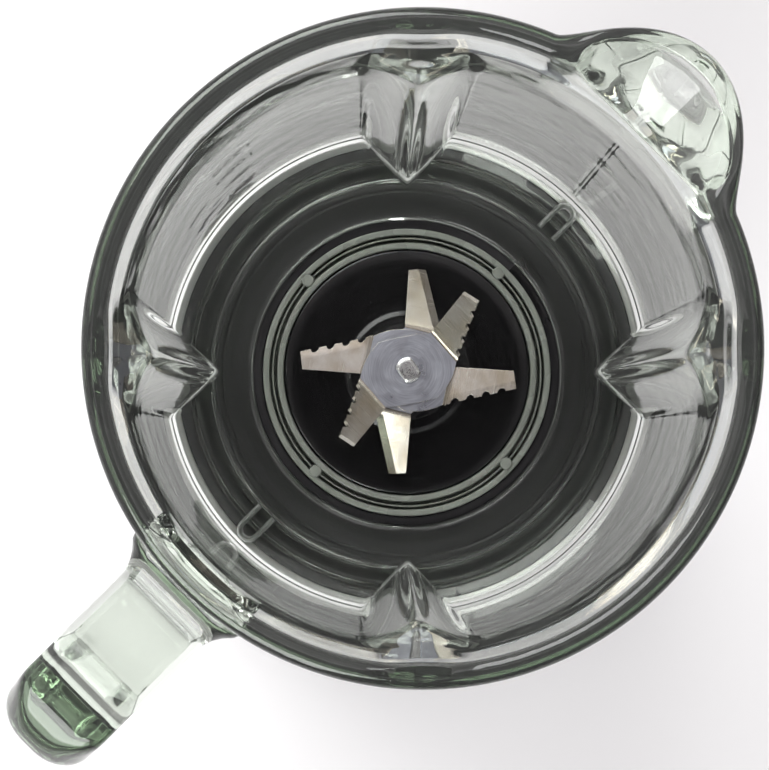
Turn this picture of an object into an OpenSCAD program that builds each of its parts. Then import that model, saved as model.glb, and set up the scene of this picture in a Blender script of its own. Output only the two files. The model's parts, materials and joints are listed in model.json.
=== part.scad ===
// Countertop blender: an open glass jar with a loop handle and a spout, on a motor base.
// The drive axis is Z, the feet stand at Z = 0, the handle points to +X, the spout to -X
// and the controls face -Y.

/* [Jar] */
// Height of the jar's rim above the counter
rim_z = 358; // [350:1:370]
// Outer radius of the rim
rim_r = 75; // [74:0.5:77]
// Inner radius of the mouth
mouth_r = 68.4; // [67.5:0.1:69]
// Depth of the straight mouth under the rim
mouth_h = 12; // [10:1:14]
// Outer radius of the wall at its foot
wall_foot_r = 72; // [71:0.5:73]
// Inner radius of the wall at the floor
floor_r = 66; // [65:0.5:66.5]
// Height of the glass floor's upper face
floor_z = 190; // [188:1:192]
// Thickness of the glass floor
floor_t = 9; // [8:0.5:10]

/* [Ribs] */
// Radius of a rib's crest at the floor
crest_foot_r = 51.5; // [50:0.5:54]
// Radius of a rib's crest at its upper end
crest_top_r = 59; // [57:0.5:61]
// Half of the angle between a rib's two faces
rib_half_angle = 43; // [38:1:46]
// Thickness of the glass behind a rib's face
rib_wall = 9; // [7:0.5:10]

/* [Handle and spout] */
// Reach of the handle from the drive axis
handle_reach = 127; // [122:1:128]
// Width of the handle
handle_w = 24; // [20:1:26]
// Thickness of the grip
grip_t = 14; // [12:1:16]
// Height of the handle from its lower to its upper edge
handle_h = 138; // [120:1:145]
// Reach of the spout's tip from the drive axis
spout_reach = 91.6; // [88:0.2:94]

/* [Blades] */
// Length of an arm from the axis to its tip
arm_reach = 30.4; // [28:0.2:31]
// Thickness of a blade plate
blade_t = 1.5; // [1.2:0.1:1.6]
// Upward bend of the upper blade's arms
upper_bend = 40; // [30:1:45]
// Downward bend of the lower blade's arms
lower_bend = 22; // [10:1:24]
// Height of the blade stack's lower face
stack_z = 203; // [202.5:0.5:205]

/* [Collar and carrier] */
// Outer radius of the locking collar
collar_r = 69; // [68:0.5:70]
// Radius of the black disc inside the gasket
disc_r = 34.8; // [34:0.1:36]
// Height of the gasket's top
gasket_z = 193; // [192.5:0.5:194]

/* [Base] */
// Height of the seat that the jar stands on
seat_z = 148; // [147.5:0.1:148]
// Outer radius of the base at the deck
deck_r = 70.5; // [70:0.5:71.5]
// Outer radius of the base at the skirt
skirt_r = 88; // [87:0.5:90]
// Thickness of the housing's sheet
sheet_t = 1.5; // [1:0.1:2]

/* [Motor] */
// Radius of the motor shaft
motor_shaft_r = 4; // [4:0.5:5]
// Outer radius of the rotor
rotor_r = 22.5; // [21:0.5:22.5]
// Outer radius of the stator
stator_r = 42; // [40:0.5:43]

/* [Controls] */
// Radius of the speed knob
knob_r = 17; // [15:0.5:18]
// Travel of a push button
button_travel = 1.8; // [1.2:0.1:2]
// Radius of the cord inlet's bore
cord_bore_r = 3.6; // [3.2:0.1:4]

/* [Hidden] */
$fn = 96;
eps = 0.01;
fit = 0.05; // radial clearance of a running fit
gap = 0.3; // clearance between bodies that move past each other

// Jar
wall_top_z = rim_z - mouth_h;
neck_r = 61.5;
neck_bore_r = 56;
neck_foot_z = 171.5;
floor_hole_r = 44;
floor_under_z = floor_z - floor_t;
handle_top_z = rim_z - 10;
handle_foot_z = handle_top_z - handle_h;
handle_root_x = 66;
arm_h = 17; // height of the handle's upper and lower arms
spout_cone_h = 46;
spout_axis_x = 72;
spout_wall = 5.6;
spout_r = spout_reach - spout_axis_x;
crest_tilt = atan((crest_top_r - crest_foot_r) / (wall_top_z - floor_z));
rib_depth = 30;
lug_r = 61.5;
lug_gap = 5.6;
lug_len = 7.6;
lug_bar = 1.3;
lug_h = 2;

// Blade stack
blade_shaft_r = 4;
neck_of_shaft_r = 3.2; // the shaft's neck inside the plates
spacer_t = 0.4;
bush_r = 8;
// a plate's hub, as corners on one side of the axis: two by the arm and one at the waist
hub_corner_a = [11.9, 2];
hub_corner_b = [10.3, -8.7];
hub_corner_c = [-0.4, -11.2];
fold_u = 11;
notch_r = 1.1;
notch_us = [13.7, 18, 22.2, 26.4];
arm_angles = [4.4, 310, 219.5]; // upper, middle and lower blade
plate_zs = [stack_z + 2 * (blade_t + spacer_t), stack_z + blade_t + spacer_t, stack_z];
head_z = plate_zs[0] + blade_t;
washer_z = 198.5;
boss_z = washer_z - gap;
hub_foot_z = 166;
clip_z = 164.4;
socket_z = 151;
socket_top_z = 164;
shaft_foot_z = 158.8;

// Carrier and collar
flange_z = 171.2;
flange_top_z = 178;
flange_r = 54.5;
web_z = 166;
web_hole_r = 46;
collar_top_z = 184;
collar_inner_r = 65.4;
collar_foot_z = seat_z + gap;

// Base
plate_z = 6;
plate_t = 3;
skirt_top_z = 24;
deck_z = 140;
skin_top_z = deck_z;
deck_hole_r = 21;
ring_outer_r = 64.7;
ring_inner_r = 60;
ring_top_z = 158;
foot_pitch_r = 68;
foot_w = 17;
plate_screw_angle = 15; // keeps the screws clear of the cord gland
foot_bead_t = 1.8;
front_tilt = atan((skirt_r - deck_r) / (skin_top_z - skirt_top_z));
panel_z = 76;
panel_y = deck_r + (skin_top_z - panel_z) * tan(front_tilt) + 2.6;
panel_w = 58;
panel_h = 74;
panel_depth = 15;
panel_t = 3;
knob_v = -14; // the knob's place up the panel
button_v = 23;
button_u = 15;
button_w = 18;
button_h = 11;
knob_h = 14;
stem_r = 2;
gland_z = 16;
gland_len = 20;
gland_y = 78;

// Motor
stator_z = 55;
stator_h = 40;
rotor_z = 53;
rotor_h = 44;
lower_bearing_z = 20;
upper_bearing_z = 118;
bearing_r = 11;
bearing_h = 7;
commutator_z = 33;
commutator_r = 13;
commutator_h = 14;
fan_z = 103;
fan_r = 30;
bolt_pitch = 34; // radius of the four through bolts
coupling_z = 142;
coupling_top_z = 157.5;
star_points = 6;

// ---- shared shapes ----

// A flat ring or tube around Z
module ring(outer, inner, height) {
    difference() {
        cylinder(r = outer, h = height);
        translate([0, 0, -1]) cylinder(r = inner, h = height + 2);
    }
}

// A cylinder between two heights
module cylinder_from(r, z0, z1) {
    translate([0, 0, z0]) cylinder(r = r, h = z1 - z0);
}

// A rectangle with round corners, centred
module round_rect(w, h, r) {
    square([w - 2 * r, h], center = true);
    square([w, h - 2 * r], center = true);
    for (sx = [-1, 1], sy = [-1, 1])
        translate([sx * (w / 2 - r), sy * (h / 2 - r)]) circle(r = r);
}

// Places children on the tilted front: Z is outward and Y is up the slope
module on_front(u, v) {
    translate([0, -panel_y, panel_z])
        rotate([90 - front_tilt, 0, 0])
        translate([u, v, 0])
        children();
}

// Copies children at equal angles around Z
module around(count, radius, start) {
    for (i = [0:count - 1])
        rotate([0, 0, start + i * 360 / count]) translate([radius, 0, 0]) children();
}

// A star of radial bars for the drive coupling and its socket
module star(radius, bar, core, height) {
    cylinder(r = core, h = height);
    for (i = [0:star_points / 2 - 1])
        rotate([0, 0, i * 360 / star_points])
        translate([-radius, -bar / 2, 0])
        cube([2 * radius, bar, height]);
}

function skin_r(z) = deck_r + (skin_top_z - z) * tan(front_tilt);

// ---- jar ----

// The solid outside of the jar, without ribs, handle and spout
module jar_outside() {
    rotate_extrude()
        polygon([
            [0, neck_foot_z], [neck_r - 1, neck_foot_z], [neck_r, neck_foot_z + 1],
            [neck_r, floor_under_z + 1], [wall_foot_r - 4, floor_under_z + 5],
            [wall_foot_r - 1, floor_z], [wall_foot_r, floor_z + 6],
            [rim_r - 0.8, rim_z - 16], [rim_r, rim_z - 9], [rim_r, rim_z - 2],
            [rim_r - 0.6, rim_z - 0.6], [rim_r - 2, rim_z], [0, rim_z]
        ]);
}

// The space inside the wall, from the floor up
module jar_inside() {
    rotate_extrude()
        polygon([
            [0, floor_z], [floor_r - 5, floor_z], [floor_r - 1.5, floor_z + 1.5],
            [floor_r, floor_z + 5], [mouth_r, wall_top_z], [0, wall_top_z]
        ]);
    translate([0, 0, wall_top_z - eps]) cylinder(r = mouth_r, h = mouth_h + 1);
}

// A long triangular prism with its edge on the leaning line of a rib's crest
module crest_prism(radius, length) {
    translate([radius, 0, floor_z])
        rotate([0, crest_tilt, 0])
        translate([0, 0, -20])
        linear_extrude(height = length)
        polygon([
            [0, 0],
            [rib_depth, rib_depth * tan(rib_half_angle)],
            [rib_depth, -rib_depth * tan(rib_half_angle)]
        ]);
}

// The glass of one rib, scooped at its upper end
module rib() {
    intersection() {
        crest_prism(crest_foot_r, 190);
        translate([0, 0, floor_z - 1]) cylinder(r = wall_foot_r - 1, h = wall_top_z - floor_z);
        translate([crest_top_r - 12, -40, floor_z - 2])
            cube([40, 80, wall_top_z - floor_z - 3]);
    }
}

module spout_outside() {
    intersection() {
        translate([-spout_axis_x, 0, rim_z - spout_cone_h])
            cylinder(r1 = 1, r2 = spout_r, h = spout_cone_h);
        translate([-spout_reach - 5, -40, rim_z - spout_cone_h]) cube([40, 80, spout_cone_h]);
    }
}

module spout_inside() {
    translate([-spout_axis_x, 0, rim_z - spout_cone_h + spout_wall * 1.6])
        cylinder(r1 = 1, r2 = spout_r - spout_wall + 3, h = spout_cone_h);
}

module handle_loop() {
    mid_z = (handle_top_z + handle_foot_z) / 2;
    loop_w = handle_reach - handle_root_x + 10;
    intersection() {
        translate([0, handle_w / 2, 0])
            rotate([90, 0, 0])
            linear_extrude(height = handle_w)
            difference() {
                translate([handle_reach - loop_w / 2, mid_z]) round_rect(loop_w, handle_h, 22);
                translate([handle_reach - grip_t - loop_w / 2, mid_z])
                    round_rect(loop_w, handle_h - 2 * arm_h, 12);
            }
        translate([0, 0, handle_foot_z - 1])
            linear_extrude(height = handle_h + 2)
            union() {
                translate([handle_root_x, -handle_w / 2])
                    square([handle_reach - handle_root_x - handle_w / 2, handle_w]);
                translate([handle_reach - handle_w / 2, 0]) circle(d = handle_w);
            }
    }
}

// One of the two U-shaped lugs on the floor
module floor_lug() {
    translate([lug_r, 0, floor_z - eps])
        linear_extrude(height = lug_h)
        union() {
            for (side = [-1, 1])
                translate([-lug_len, side * lug_gap / 2 - lug_bar / 2]) square([lug_len, lug_bar]);
            intersection() {
                difference() {
                    circle(r = (lug_gap + lug_bar) / 2);
                    circle(r = (lug_gap - lug_bar) / 2);
                }
                translate([0, -lug_gap]) square([lug_gap, 2 * lug_gap]);
            }
        }
}

module glass_jar() {
    color([0.74, 0.8, 0.76, 0.4])
        difference() {
            union() {
                difference() {
                    union() {
                        jar_outside();
                        handle_loop();
                        spout_outside();
                    }
                    jar_inside();
                    spout_inside();
                }
                around(4, 0, 45) rib();
                around(2, 0, 0) floor_lug();
            }
            around(4, 0, 45)
                intersection() {
                    crest_prism(crest_foot_r + rib_wall, 190);
                    translate([0, 0, floor_z + 4])
                        cylinder(r = rim_r + 5, h = wall_top_z - floor_z - 14);
                }
            translate([0, 0, floor_under_z - 20]) cylinder(r = floor_hole_r, h = 40);
            translate([0, 0, neck_foot_z - 1])
                cylinder(r = neck_bore_r, h = floor_under_z - neck_foot_z + 1);
        }
}

// Ribbed sealing ring that plugs the gap between the floor's hole and the disc, with four nubs
module jar_gasket() {
    color([0.6, 0.64, 0.62, 0.7]) {
        rotate_extrude()
            polygon([
                [disc_r + 0.1, flange_top_z], [floor_hole_r - 0.2, flange_top_z],
                [floor_hole_r - 0.2, gasket_z - 1.5], [floor_hole_r - 1.6, gasket_z - 1],
                [disc_r + 6.2, gasket_z - 1.4], [disc_r + 5.8, gasket_z - 0.2],
                [disc_r + 4, gasket_z - 0.2], [disc_r + 3.6, gasket_z - 1.6],
                [disc_r + 2.6, gasket_z - 1.6], [disc_r + 2.2, gasket_z],
                [disc_r + 0.1, gasket_z]
            ]);
        around(4, disc_r + 3.3, 2.3)
            translate([0, 0, gasket_z - 1.8])
            cylinder(r = 1.75, h = 2.2);
    }
}

module blade_carrier() {
    color([0.06, 0.06, 0.06])
        difference() {
            union() {
                cylinder_from(flange_r, flange_z, floor_under_z - 0.2);
                cylinder_from(disc_r, flange_z, gasket_z - 0.5);
                translate([0, 0, gasket_z - 0.6])
                    cylinder(r1 = 16, r2 = 12, h = boss_z - gasket_z + 0.6);
                cylinder_from(13, hub_foot_z, flange_z + 1);
            }
            translate([0, 0, flange_top_z]) ring(floor_hole_r + 0.3, disc_r, floor_t);
            translate([0, 0, hub_foot_z - 1]) cylinder(r = bush_r, h = 12);
            translate([0, 0, boss_z - 12]) cylinder(r = bush_r, h = 13);
            translate([0, 0, hub_foot_z]) cylinder(r = bush_r - 1.5, h = boss_z - hub_foot_z);
            // the underside is cored out between the hub and the plug's wall
            translate([0, 0, flange_z - 1]) ring(disc_r - 3, 13, gasket_z - 4 - flange_z);
        }
}

// Collar: a ribbed outer wall, a web under the carrier's flange and a skirt round the seat
module locking_collar() {
    color([0.05, 0.05, 0.055]) {
        difference() {
            cylinder_from(collar_r, collar_foot_z, collar_top_z);
            cylinder_from(collar_inner_r, collar_foot_z - 1, web_z);
            cylinder_from(web_hole_r, web_z - 1, flange_z + 1);
            cylinder_from(neck_r + gap, flange_z, floor_under_z + 0.6);
            translate([0, 0, floor_under_z + 0.5])
                cylinder(r1 = neck_r + gap, r2 = wall_foot_r - 3, h = 4);
            around(40, collar_r + 0.6, 0)
                translate([0, 0, collar_foot_z + 4])
                cylinder(r = 1.3, h = 24, $fn = 24);
        }
    }
}

module upper_bush() {
    color("peru")
        translate([0, 0, boss_z - 12])
        ring(bush_r, blade_shaft_r + fit, 9);
}

module lower_bush() {
    color("peru")
        translate([0, 0, hub_foot_z])
        ring(bush_r, blade_shaft_r + fit, 11);
}

module shaft_seal() {
    color("dimgray")
        translate([0, 0, boss_z - 3])
        ring(bush_r, blade_shaft_r + fit, 2.8);
}

// ---- blades ----

module blade_hub() {
    polygon([
        hub_corner_a, hub_corner_b, hub_corner_c,
        -hub_corner_a, -hub_corner_b, -hub_corner_c
    ]);
}

// The height of an arm's cutting edge at a place along it
function edge_v(u) = -8.5 + (u - fold_u) * 6.1 / (arm_reach - fold_u);

module arm_outline(serrated) {
    difference() {
        polygon([
            [fold_u - 0.6, 2], [fold_u - 0.6, -8.5], [fold_u, -8.5],
            [arm_reach, edge_v(arm_reach)], [arm_reach - 1.2, 2.3], [fold_u, 2]
        ]);
        if (serrated)
            for (u = notch_us) translate([u, edge_v(u)]) circle(r = notch_r);
    }
}

module blade_plate(z, angle, bend, serrated) {
    translate([0, 0, z])
        rotate([0, 0, angle])
        difference() {
            union() {
                linear_extrude(height = blade_t) blade_hub();
                for (turn = [0, 180])
                    rotate([0, 0, turn])
                    translate([fold_u, 0, 0])
                    rotate([0, -bend, 0])
                    translate([-fold_u, 0, 0])
                    linear_extrude(height = blade_t)
                    arm_outline(serrated);
            }
            translate([0, 0, -1]) cylinder(r = neck_of_shaft_r, h = blade_t + 2);
        }
}

module upper_blade() {
    color("silver") blade_plate(plate_zs[0], arm_angles[0], upper_bend, true);
}

module middle_blade() {
    color("lightgray") blade_plate(plate_zs[1], arm_angles[1], 0, true);
}

module lower_blade() {
    color("darkgray") blade_plate(plate_zs[2], arm_angles[2], -lower_bend, false);
}

module blade_spacers() {
    color("gray")
        for (z = [stack_z + blade_t, plate_zs[1] + blade_t])
            translate([0, 0, z]) ring(8, neck_of_shaft_r, spacer_t);
}

module thrust_washer() {
    color("gainsboro")
        translate([0, 0, washer_z])
        difference() {
            union() {
                cylinder(r = 11.5, h = 1.5);
                cylinder(r = 8, h = stack_z - washer_z);
            }
            translate([0, 0, -1]) cylinder(r = blade_shaft_r, h = 20);
        }
}

// Shaft with its shoulder under the stack and a riveted double-D head above it
module blade_shaft() {
    color("silver")
        difference() {
            union() {
                cylinder_from(blade_shaft_r, shaft_foot_z, stack_z);
                cylinder_from(neck_of_shaft_r, stack_z - 1, head_z);
                intersection() {
                    translate([0, 0, head_z]) cylinder(r1 = 3.7, r2 = 3.2, h = 1.6);
                    rotate([0, 0, 80]) translate([-5, -2.6, head_z]) cube([10, 5.2, 3]);
                }
            }
            translate([0, 0, clip_z]) ring(blade_shaft_r + 1, 3.3, 1);
        }
}

module shaft_clip() {
    color("gray")
        translate([0, 0, clip_z])
        difference() {
            ring(7, 3.3, 1);
            translate([0, -2, -1]) cube([10, 4, 3]);
        }
}

// Socket that drops over the drive coupling's star
module driven_coupling() {
    color([0.15, 0.15, 0.15])
        difference() {
            cylinder_from(17, socket_z, socket_top_z);
            translate([0, 0, socket_z - 1])
                star(13.5 + gap, 6 + 2 * gap, 8 + gap, coupling_top_z - socket_z + 1 + gap);
            cylinder_from(blade_shaft_r, shaft_foot_z, socket_top_z + 1);
        }
}

// ---- base ----

module panel_block(grow) {
    on_front(0, 0)
        translate([0, 0, -panel_depth])
        linear_extrude(height = panel_depth)
        round_rect(panel_w + 2 * grow, panel_h + 2 * grow, 8);
}

module housing() {
    color([0.78, 0.78, 0.79])
        difference() {
            translate([0, 0, skirt_top_z])
                cylinder(r1 = skirt_r, r2 = deck_r, h = skin_top_z - skirt_top_z);
            translate([0, 0, skirt_top_z - eps])
                cylinder(r1 = skirt_r - sheet_t, r2 = deck_r - sheet_t,
                    h = skin_top_z - skirt_top_z + 2 * eps);
            panel_block(gap);
        }
}

module top_deck() {
    color([0.08, 0.08, 0.085])
        difference() {
            union() {
                cylinder_from(deck_r, deck_z, seat_z - 3);
                translate([0, 0, seat_z - 3]) cylinder(r1 = deck_r, r2 = deck_r - 0.8, h = 2);
                cylinder_from(ring_outer_r, deck_z, ring_top_z);
                // spigot inside the housing
                cylinder_from(deck_r - sheet_t - 0.4, deck_z - 6, deck_z);
            }
            cylinder_from(ring_inner_r, deck_z + 4, ring_top_z + 1);
            cylinder_from(deck_r - sheet_t - 4, deck_z - 7, deck_z);
            cylinder_from(deck_hole_r, deck_z - 8, ring_top_z);
            cylinder_between_pad();
            around(4, 48, 45) translate([0, 0, deck_z - 1]) cylinder(r = 2.1, h = 8);
        }
}

// The groove that holds the seat pad
module cylinder_between_pad() {
    translate([0, 0, seat_z - 2.2]) ring(deck_r - 1.2, ring_outer_r, 4);
}

module seat_pad() {
    color("dimgray")
        translate([0, 0, seat_z - 2.2])
        ring(deck_r - 1.2, ring_outer_r, 2.2);
}

module skirt() {
    color([0.1, 0.1, 0.1])
        difference() {
            translate([0, 0, plate_z])
                cylinder(r1 = skirt_r + 1, r2 = skirt_r, h = skirt_top_z - plate_z);
            translate([0, 0, plate_z - 1])
                cylinder(r = skirt_r - 3, h = skirt_top_z - plate_z + 2);
            translate([0, gland_y - 1, gland_z]) rotate([-90, 0, 0]) cylinder(r = 7, h = 20);
        }
}

module bottom_plate() {
    color([0.14, 0.14, 0.14])
        difference() {
            union() {
                cylinder_from(skirt_r - 3.2, plate_z, plate_z + plate_t);
                around(4, foot_pitch_r, 45)
                    translate([0, 0, plate_z + plate_t - 1])
                    cylinder(r = 6, h = 7);
            }
            for (i = [-4:4])
                translate([i * 8 - 1.5, -26, plate_z - 1]) cube([3, 52, plate_t + 2]);
            around(4, foot_pitch_r, 45)
                translate([0, 0, plate_z - 1])
                cylinder(r = 1.8, h = 12);
            around(4, foot_pitch_r + 12, plate_screw_angle)
                translate([0, 0, plate_z - 1])
                cylinder(r = 2.1, h = plate_t + 2);
        }
}

// Rubber ring that the base stands on; air passes between its stand-off blocks
module foot_ring() {
    color([0.2, 0.2, 0.2])
        difference() {
            union() {
                ring(foot_pitch_r + foot_w / 2, foot_pitch_r - foot_w / 2, foot_bead_t);
                around(8, foot_pitch_r, 0)
                    translate([-foot_w / 2 + 2, -10, foot_bead_t - 0.5])
                    cube([foot_w - 4, 20, plate_z - foot_bead_t + 0.5]);
            }
            around(4, foot_pitch_r, 45) {
                translate([0, 0, -1]) cylinder(r = 3.6, h = 4);
                cylinder(r = 1.8, h = plate_z + 1);
            }
        }
}

module foot_screws() {
    color("silver")
        around(4, foot_pitch_r, 45)
        union() {
            translate([0, 0, 1.4]) cylinder(r = 3.4, h = 1.6);
            translate([0, 0, 2.9]) cylinder(r = 1.7, h = 10);
        }
}

module plate_screws() {
    color("silver")
        around(4, foot_pitch_r + 12, plate_screw_angle)
        union() {
            translate([0, 0, plate_z - 1.8]) cylinder(r = 3.4, h = 1.8);
            translate([0, 0, plate_z - 0.5]) cylinder(r = 2, h = 9);
        }
}

module deck_screws() {
    color("silver")
        around(4, 48, 45)
        union() {
            translate([0, 0, deck_z + 4]) cylinder(r = 3.6, h = 1.8);
            translate([0, 0, upper_bearing_z + 8]) cylinder(r = 2, h = deck_z - upper_bearing_z - 3.5);
        }
}

module cord_gland() {
    color([0.12, 0.12, 0.12])
        translate([0, gland_y, gland_z])
        rotate([-90, 0, 0])
        difference() {
            union() {
                cylinder(r = 6.9, h = gland_len - 5);
                translate([0, 0, 11.5]) cylinder(r1 = 8.4, r2 = 7, h = gland_len - 11.5);
            }
            translate([0, 0, -1]) cylinder(r = cord_bore_r, h = gland_len + 2);
        }
}

// Tray-shaped panel that carries the knob and the buttons
module control_panel() {
    color([0.07, 0.07, 0.075])
        difference() {
            panel_block(0);
            on_front(0, 0)
                translate([0, 0, -panel_depth - 1])
                linear_extrude(height = panel_depth - panel_t + 1)
                round_rect(panel_w - 5, panel_h - 5, 5.5);
            on_front(0, knob_v)
                translate([0, 0, -panel_depth])
                cylinder(r = 3 + fit, h = panel_depth + 1);
            for (side = [-1, 1])
                on_front(side * button_u, button_v)
                    translate([0, 0, -panel_t - 1])
                    linear_extrude(height = panel_t + 2)
                    round_rect(button_w + 2 * gap, button_h + 2 * gap, 3 + gap);
        }
}

module knob_bezel() {
    color("silver")
        on_front(0, knob_v)
        difference() {
            cylinder(r1 = knob_r + 5, r2 = knob_r + 4, h = 2.4);
            translate([0, 0, -1]) cylinder(r = knob_r + 1, h = 5);
        }
}

module speed_switch() {
    color("darkslategray")
        on_front(0, knob_v)
        difference() {
            union() {
                translate([0, 0, -panel_t - 9]) cylinder(r = 11, h = 9);
                translate([-12, -13, -panel_t - 8]) cube([24, 6, 5]);
            }
            translate([0, 0, -panel_t - 7]) cylinder(r = 3 + fit, h = 8);
        }
}

module button_switches() {
    color("darkslategray")
        for (side = [-1, 1])
            on_front(side * button_u, button_v)
                translate([-6, -4, -panel_t - 12])
                cube([12, 8, 5]);
}

module circuit_board() {
    color("darkgreen") {
        on_front(0, 0)
            translate([-24, -30, -panel_depth - 2.6])
            cube([48, 62, 1.6]);
        on_front(-12, 4) translate([0, 0, -panel_depth - 9]) cylinder(r = 5, h = 6.6);
        on_front(8, 2) translate([-7, -5, -panel_depth - 8]) cube([14, 10, 5.6]);
    }
}

module thermal_fuse() {
    color("beige")
        translate([0, stator_r + 3.2, 70])
        union() {
            cylinder(r = 2.6, h = 14);
            translate([0, 0, -6]) cylinder(r = 0.7, h = 26);
        }
}

// ---- motor ----

// Laminated stator: round with two flats, and two pole windows for the windings
module stator_core() {
    color("slategray")
        difference() {
            intersection() {
                cylinder_from(stator_r, stator_z, stator_z + stator_h);
                translate([-stator_r, -37, stator_z]) cube([2 * stator_r, 74, stator_h]);
            }
            cylinder_from(rotor_r + 0.8, stator_z - 1, stator_z + stator_h + 1);
            for (side = [-1, 1])
                translate([side * 28 - 6, -20, stator_z - 1]) cube([12, 40, stator_h + 2]);
            around(4, bolt_pitch, 45)
                translate([0, 0, stator_z - 1])
                cylinder(r = 2.2, h = stator_h + 2);
        }
}

module field_windings() {
    color("chocolate")
        for (side = [-1, 1])
            translate([side * 28.5, 0, stator_z - 5])
            difference() {
                translate([-4.5, -19, 0]) cube([9, 38, stator_h + 10]);
                translate([-8, -11, 5 - gap]) cube([16, 22, stator_h + 2 * gap]);
            }
}

module bracket_arms(width, height) {
    for (turn = [45, 135])
        rotate([0, 0, turn])
        translate([-bolt_pitch - 6, -width / 2, 0])
        cube([2 * bolt_pitch + 12, width, height]);
}

module upper_bracket() {
    color("lightslategray")
        difference() {
            union() {
                translate([0, 0, upper_bearing_z - 2]) bracket_arms(14, 5);
                cylinder_from(bearing_r + 4, upper_bearing_z - 2, upper_bearing_z + bearing_h);
                around(4, 48, 45)
                    translate([0, 0, upper_bearing_z - 2])
                    cylinder(r = 6, h = deck_z - upper_bearing_z + 2);
                around(4, 44, 45) translate([-6, -5, upper_bearing_z - 2]) cube([10, 10, 5]);
            }
            cylinder_from(bearing_r, upper_bearing_z, upper_bearing_z + bearing_h + 1);
            cylinder_from(bearing_r - 3, upper_bearing_z - 3, upper_bearing_z + 1);
            around(4, 48, 45)
                translate([0, 0, upper_bearing_z + 7.8])
                cylinder(r = 2, h = deck_z);
            around(4, bolt_pitch, 45)
                translate([0, 0, upper_bearing_z - 3])
                cylinder(r = 2.2, h = 8);
        }
}

module lower_bracket() {
    color("lightslategray")
        difference() {
            union() {
                translate([0, 0, lower_bearing_z + 2]) bracket_arms(14, 5);
                cylinder_from(bearing_r + 4, lower_bearing_z, lower_bearing_z + bearing_h);
                for (side = [-1, 1])
                    translate([side * 22 - 12, -7, lower_bearing_z + 2]) cube([24, 14, 5]);
            }
            cylinder_from(bearing_r, lower_bearing_z - 1, lower_bearing_z + bearing_h - 1);
            cylinder_from(bearing_r - 3, lower_bearing_z, lower_bearing_z + bearing_h + 1);
            around(4, bolt_pitch, 45)
                translate([0, 0, lower_bearing_z - 1])
                cylinder(r = 2.2, h = 10);
        }
}

module upper_bearing() {
    color("lightsteelblue")
        translate([0, 0, upper_bearing_z])
        ring(bearing_r, motor_shaft_r, bearing_h);
}

module lower_bearing() {
    color("lightsteelblue")
        translate([0, 0, lower_bearing_z])
        ring(bearing_r, motor_shaft_r + fit, bearing_h - 1);
}

module motor_bolts() {
    color("silver")
        around(4, bolt_pitch, 45)
        union() {
            cylinder_from(2.2, lower_bearing_z + 1, upper_bearing_z + 6);
            cylinder_from(4, upper_bearing_z + 3, upper_bearing_z + 6);
        }
}

module motor_mounts() {
    color([0.25, 0.25, 0.25])
        around(4, bolt_pitch, 45)
        difference() {
            cylinder_from(7, plate_z + plate_t, lower_bearing_z + 2);
            cylinder_from(2.2, lower_bearing_z + 0.9, lower_bearing_z + 3);
        }
}

module brush_holders() {
    color("darkgoldenrod")
        for (side = [0, 180])
            rotate([0, 0, side])
            translate([15, -5, commutator_z + 1])
            difference() {
                cube([18, 10, 12]);
                translate([-1, 2, 2]) cube([17, 6, 8]);
            }
    color("dimgray")
        for (side = [-1, 1])
            translate([side * 24 - 6, -4, lower_bearing_z + 7])
                cube([12, 8, commutator_z - lower_bearing_z - 6]);
}

module carbon_brushes() {
    color([0.2, 0.2, 0.22])
        for (side = [0, 180])
            rotate([0, 0, side])
            translate([commutator_r + gap, -2.9, commutator_z + 3.1])
            cube([11, 5.8, 7.8]);
}

module brush_springs() {
    color("silver")
        for (side = [0, 180])
            rotate([0, 0, side])
            translate([commutator_r + gap + 11, 0, commutator_z + 7])
            rotate([0, 90, 0])
            for (i = [0:2])
                translate([0, 0, i * 2]) ring(2.4, 1.6, 1.5);
}

module motor_shaft() {
    color("silver")
        cylinder_from(motor_shaft_r, lower_bearing_z, coupling_top_z - 3);
}

module rotor_core() {
    color("gray")
        difference() {
            cylinder_from(rotor_r, rotor_z + 1, rotor_z + rotor_h - 1);
            cylinder_from(motor_shaft_r, rotor_z, rotor_z + rotor_h);
            around(12, rotor_r - 3, 0)
                translate([-3, -1.6, rotor_z])
                cube([8, 3.2, rotor_h]);
        }
}

module rotor_windings() {
    color("sienna") {
        around(12, rotor_r - 3, 0)
            translate([-3, -1.6, rotor_z + 1])
            cube([5, 3.2, rotor_h - 2]);
        translate([0, 0, rotor_z - 4]) ring(rotor_r - 2, 8, 5);
        translate([0, 0, rotor_z + rotor_h - 1]) ring(rotor_r - 2, 8, 5);
    }
}

module commutator() {
    color("darkgoldenrod")
        difference() {
            cylinder_from(commutator_r, commutator_z, commutator_z + commutator_h);
            cylinder_from(motor_shaft_r, commutator_z - 1, commutator_z + commutator_h + 1);
            around(16, commutator_r, 0)
                translate([-1, -0.3, commutator_z - 1])
                cube([2, 0.6, commutator_h - 2]);
        }
}

module cooling_fan() {
    color("whitesmoke")
        difference() {
            union() {
                cylinder_from(9, fan_z, fan_z + 10);
                cylinder_from(fan_r, fan_z, fan_z + 1.6);
                around(11, 8, 0)
                    translate([0, 0, fan_z + 1])
                    rotate([0, 0, 22])
                    cube([fan_r - 11, 1.4, 9]);
            }
            cylinder_from(motor_shaft_r, fan_z - 1, fan_z + 12);
        }
}

module drip_slinger() {
    color([0.2, 0.2, 0.2])
        difference() {
            union() {
                translate([0, 0, 128]) cylinder(r1 = 15, r2 = 7, h = 3);
                cylinder_from(7, 130, 134);
            }
            cylinder_from(motor_shaft_r, 127, 135);
        }
}

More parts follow.
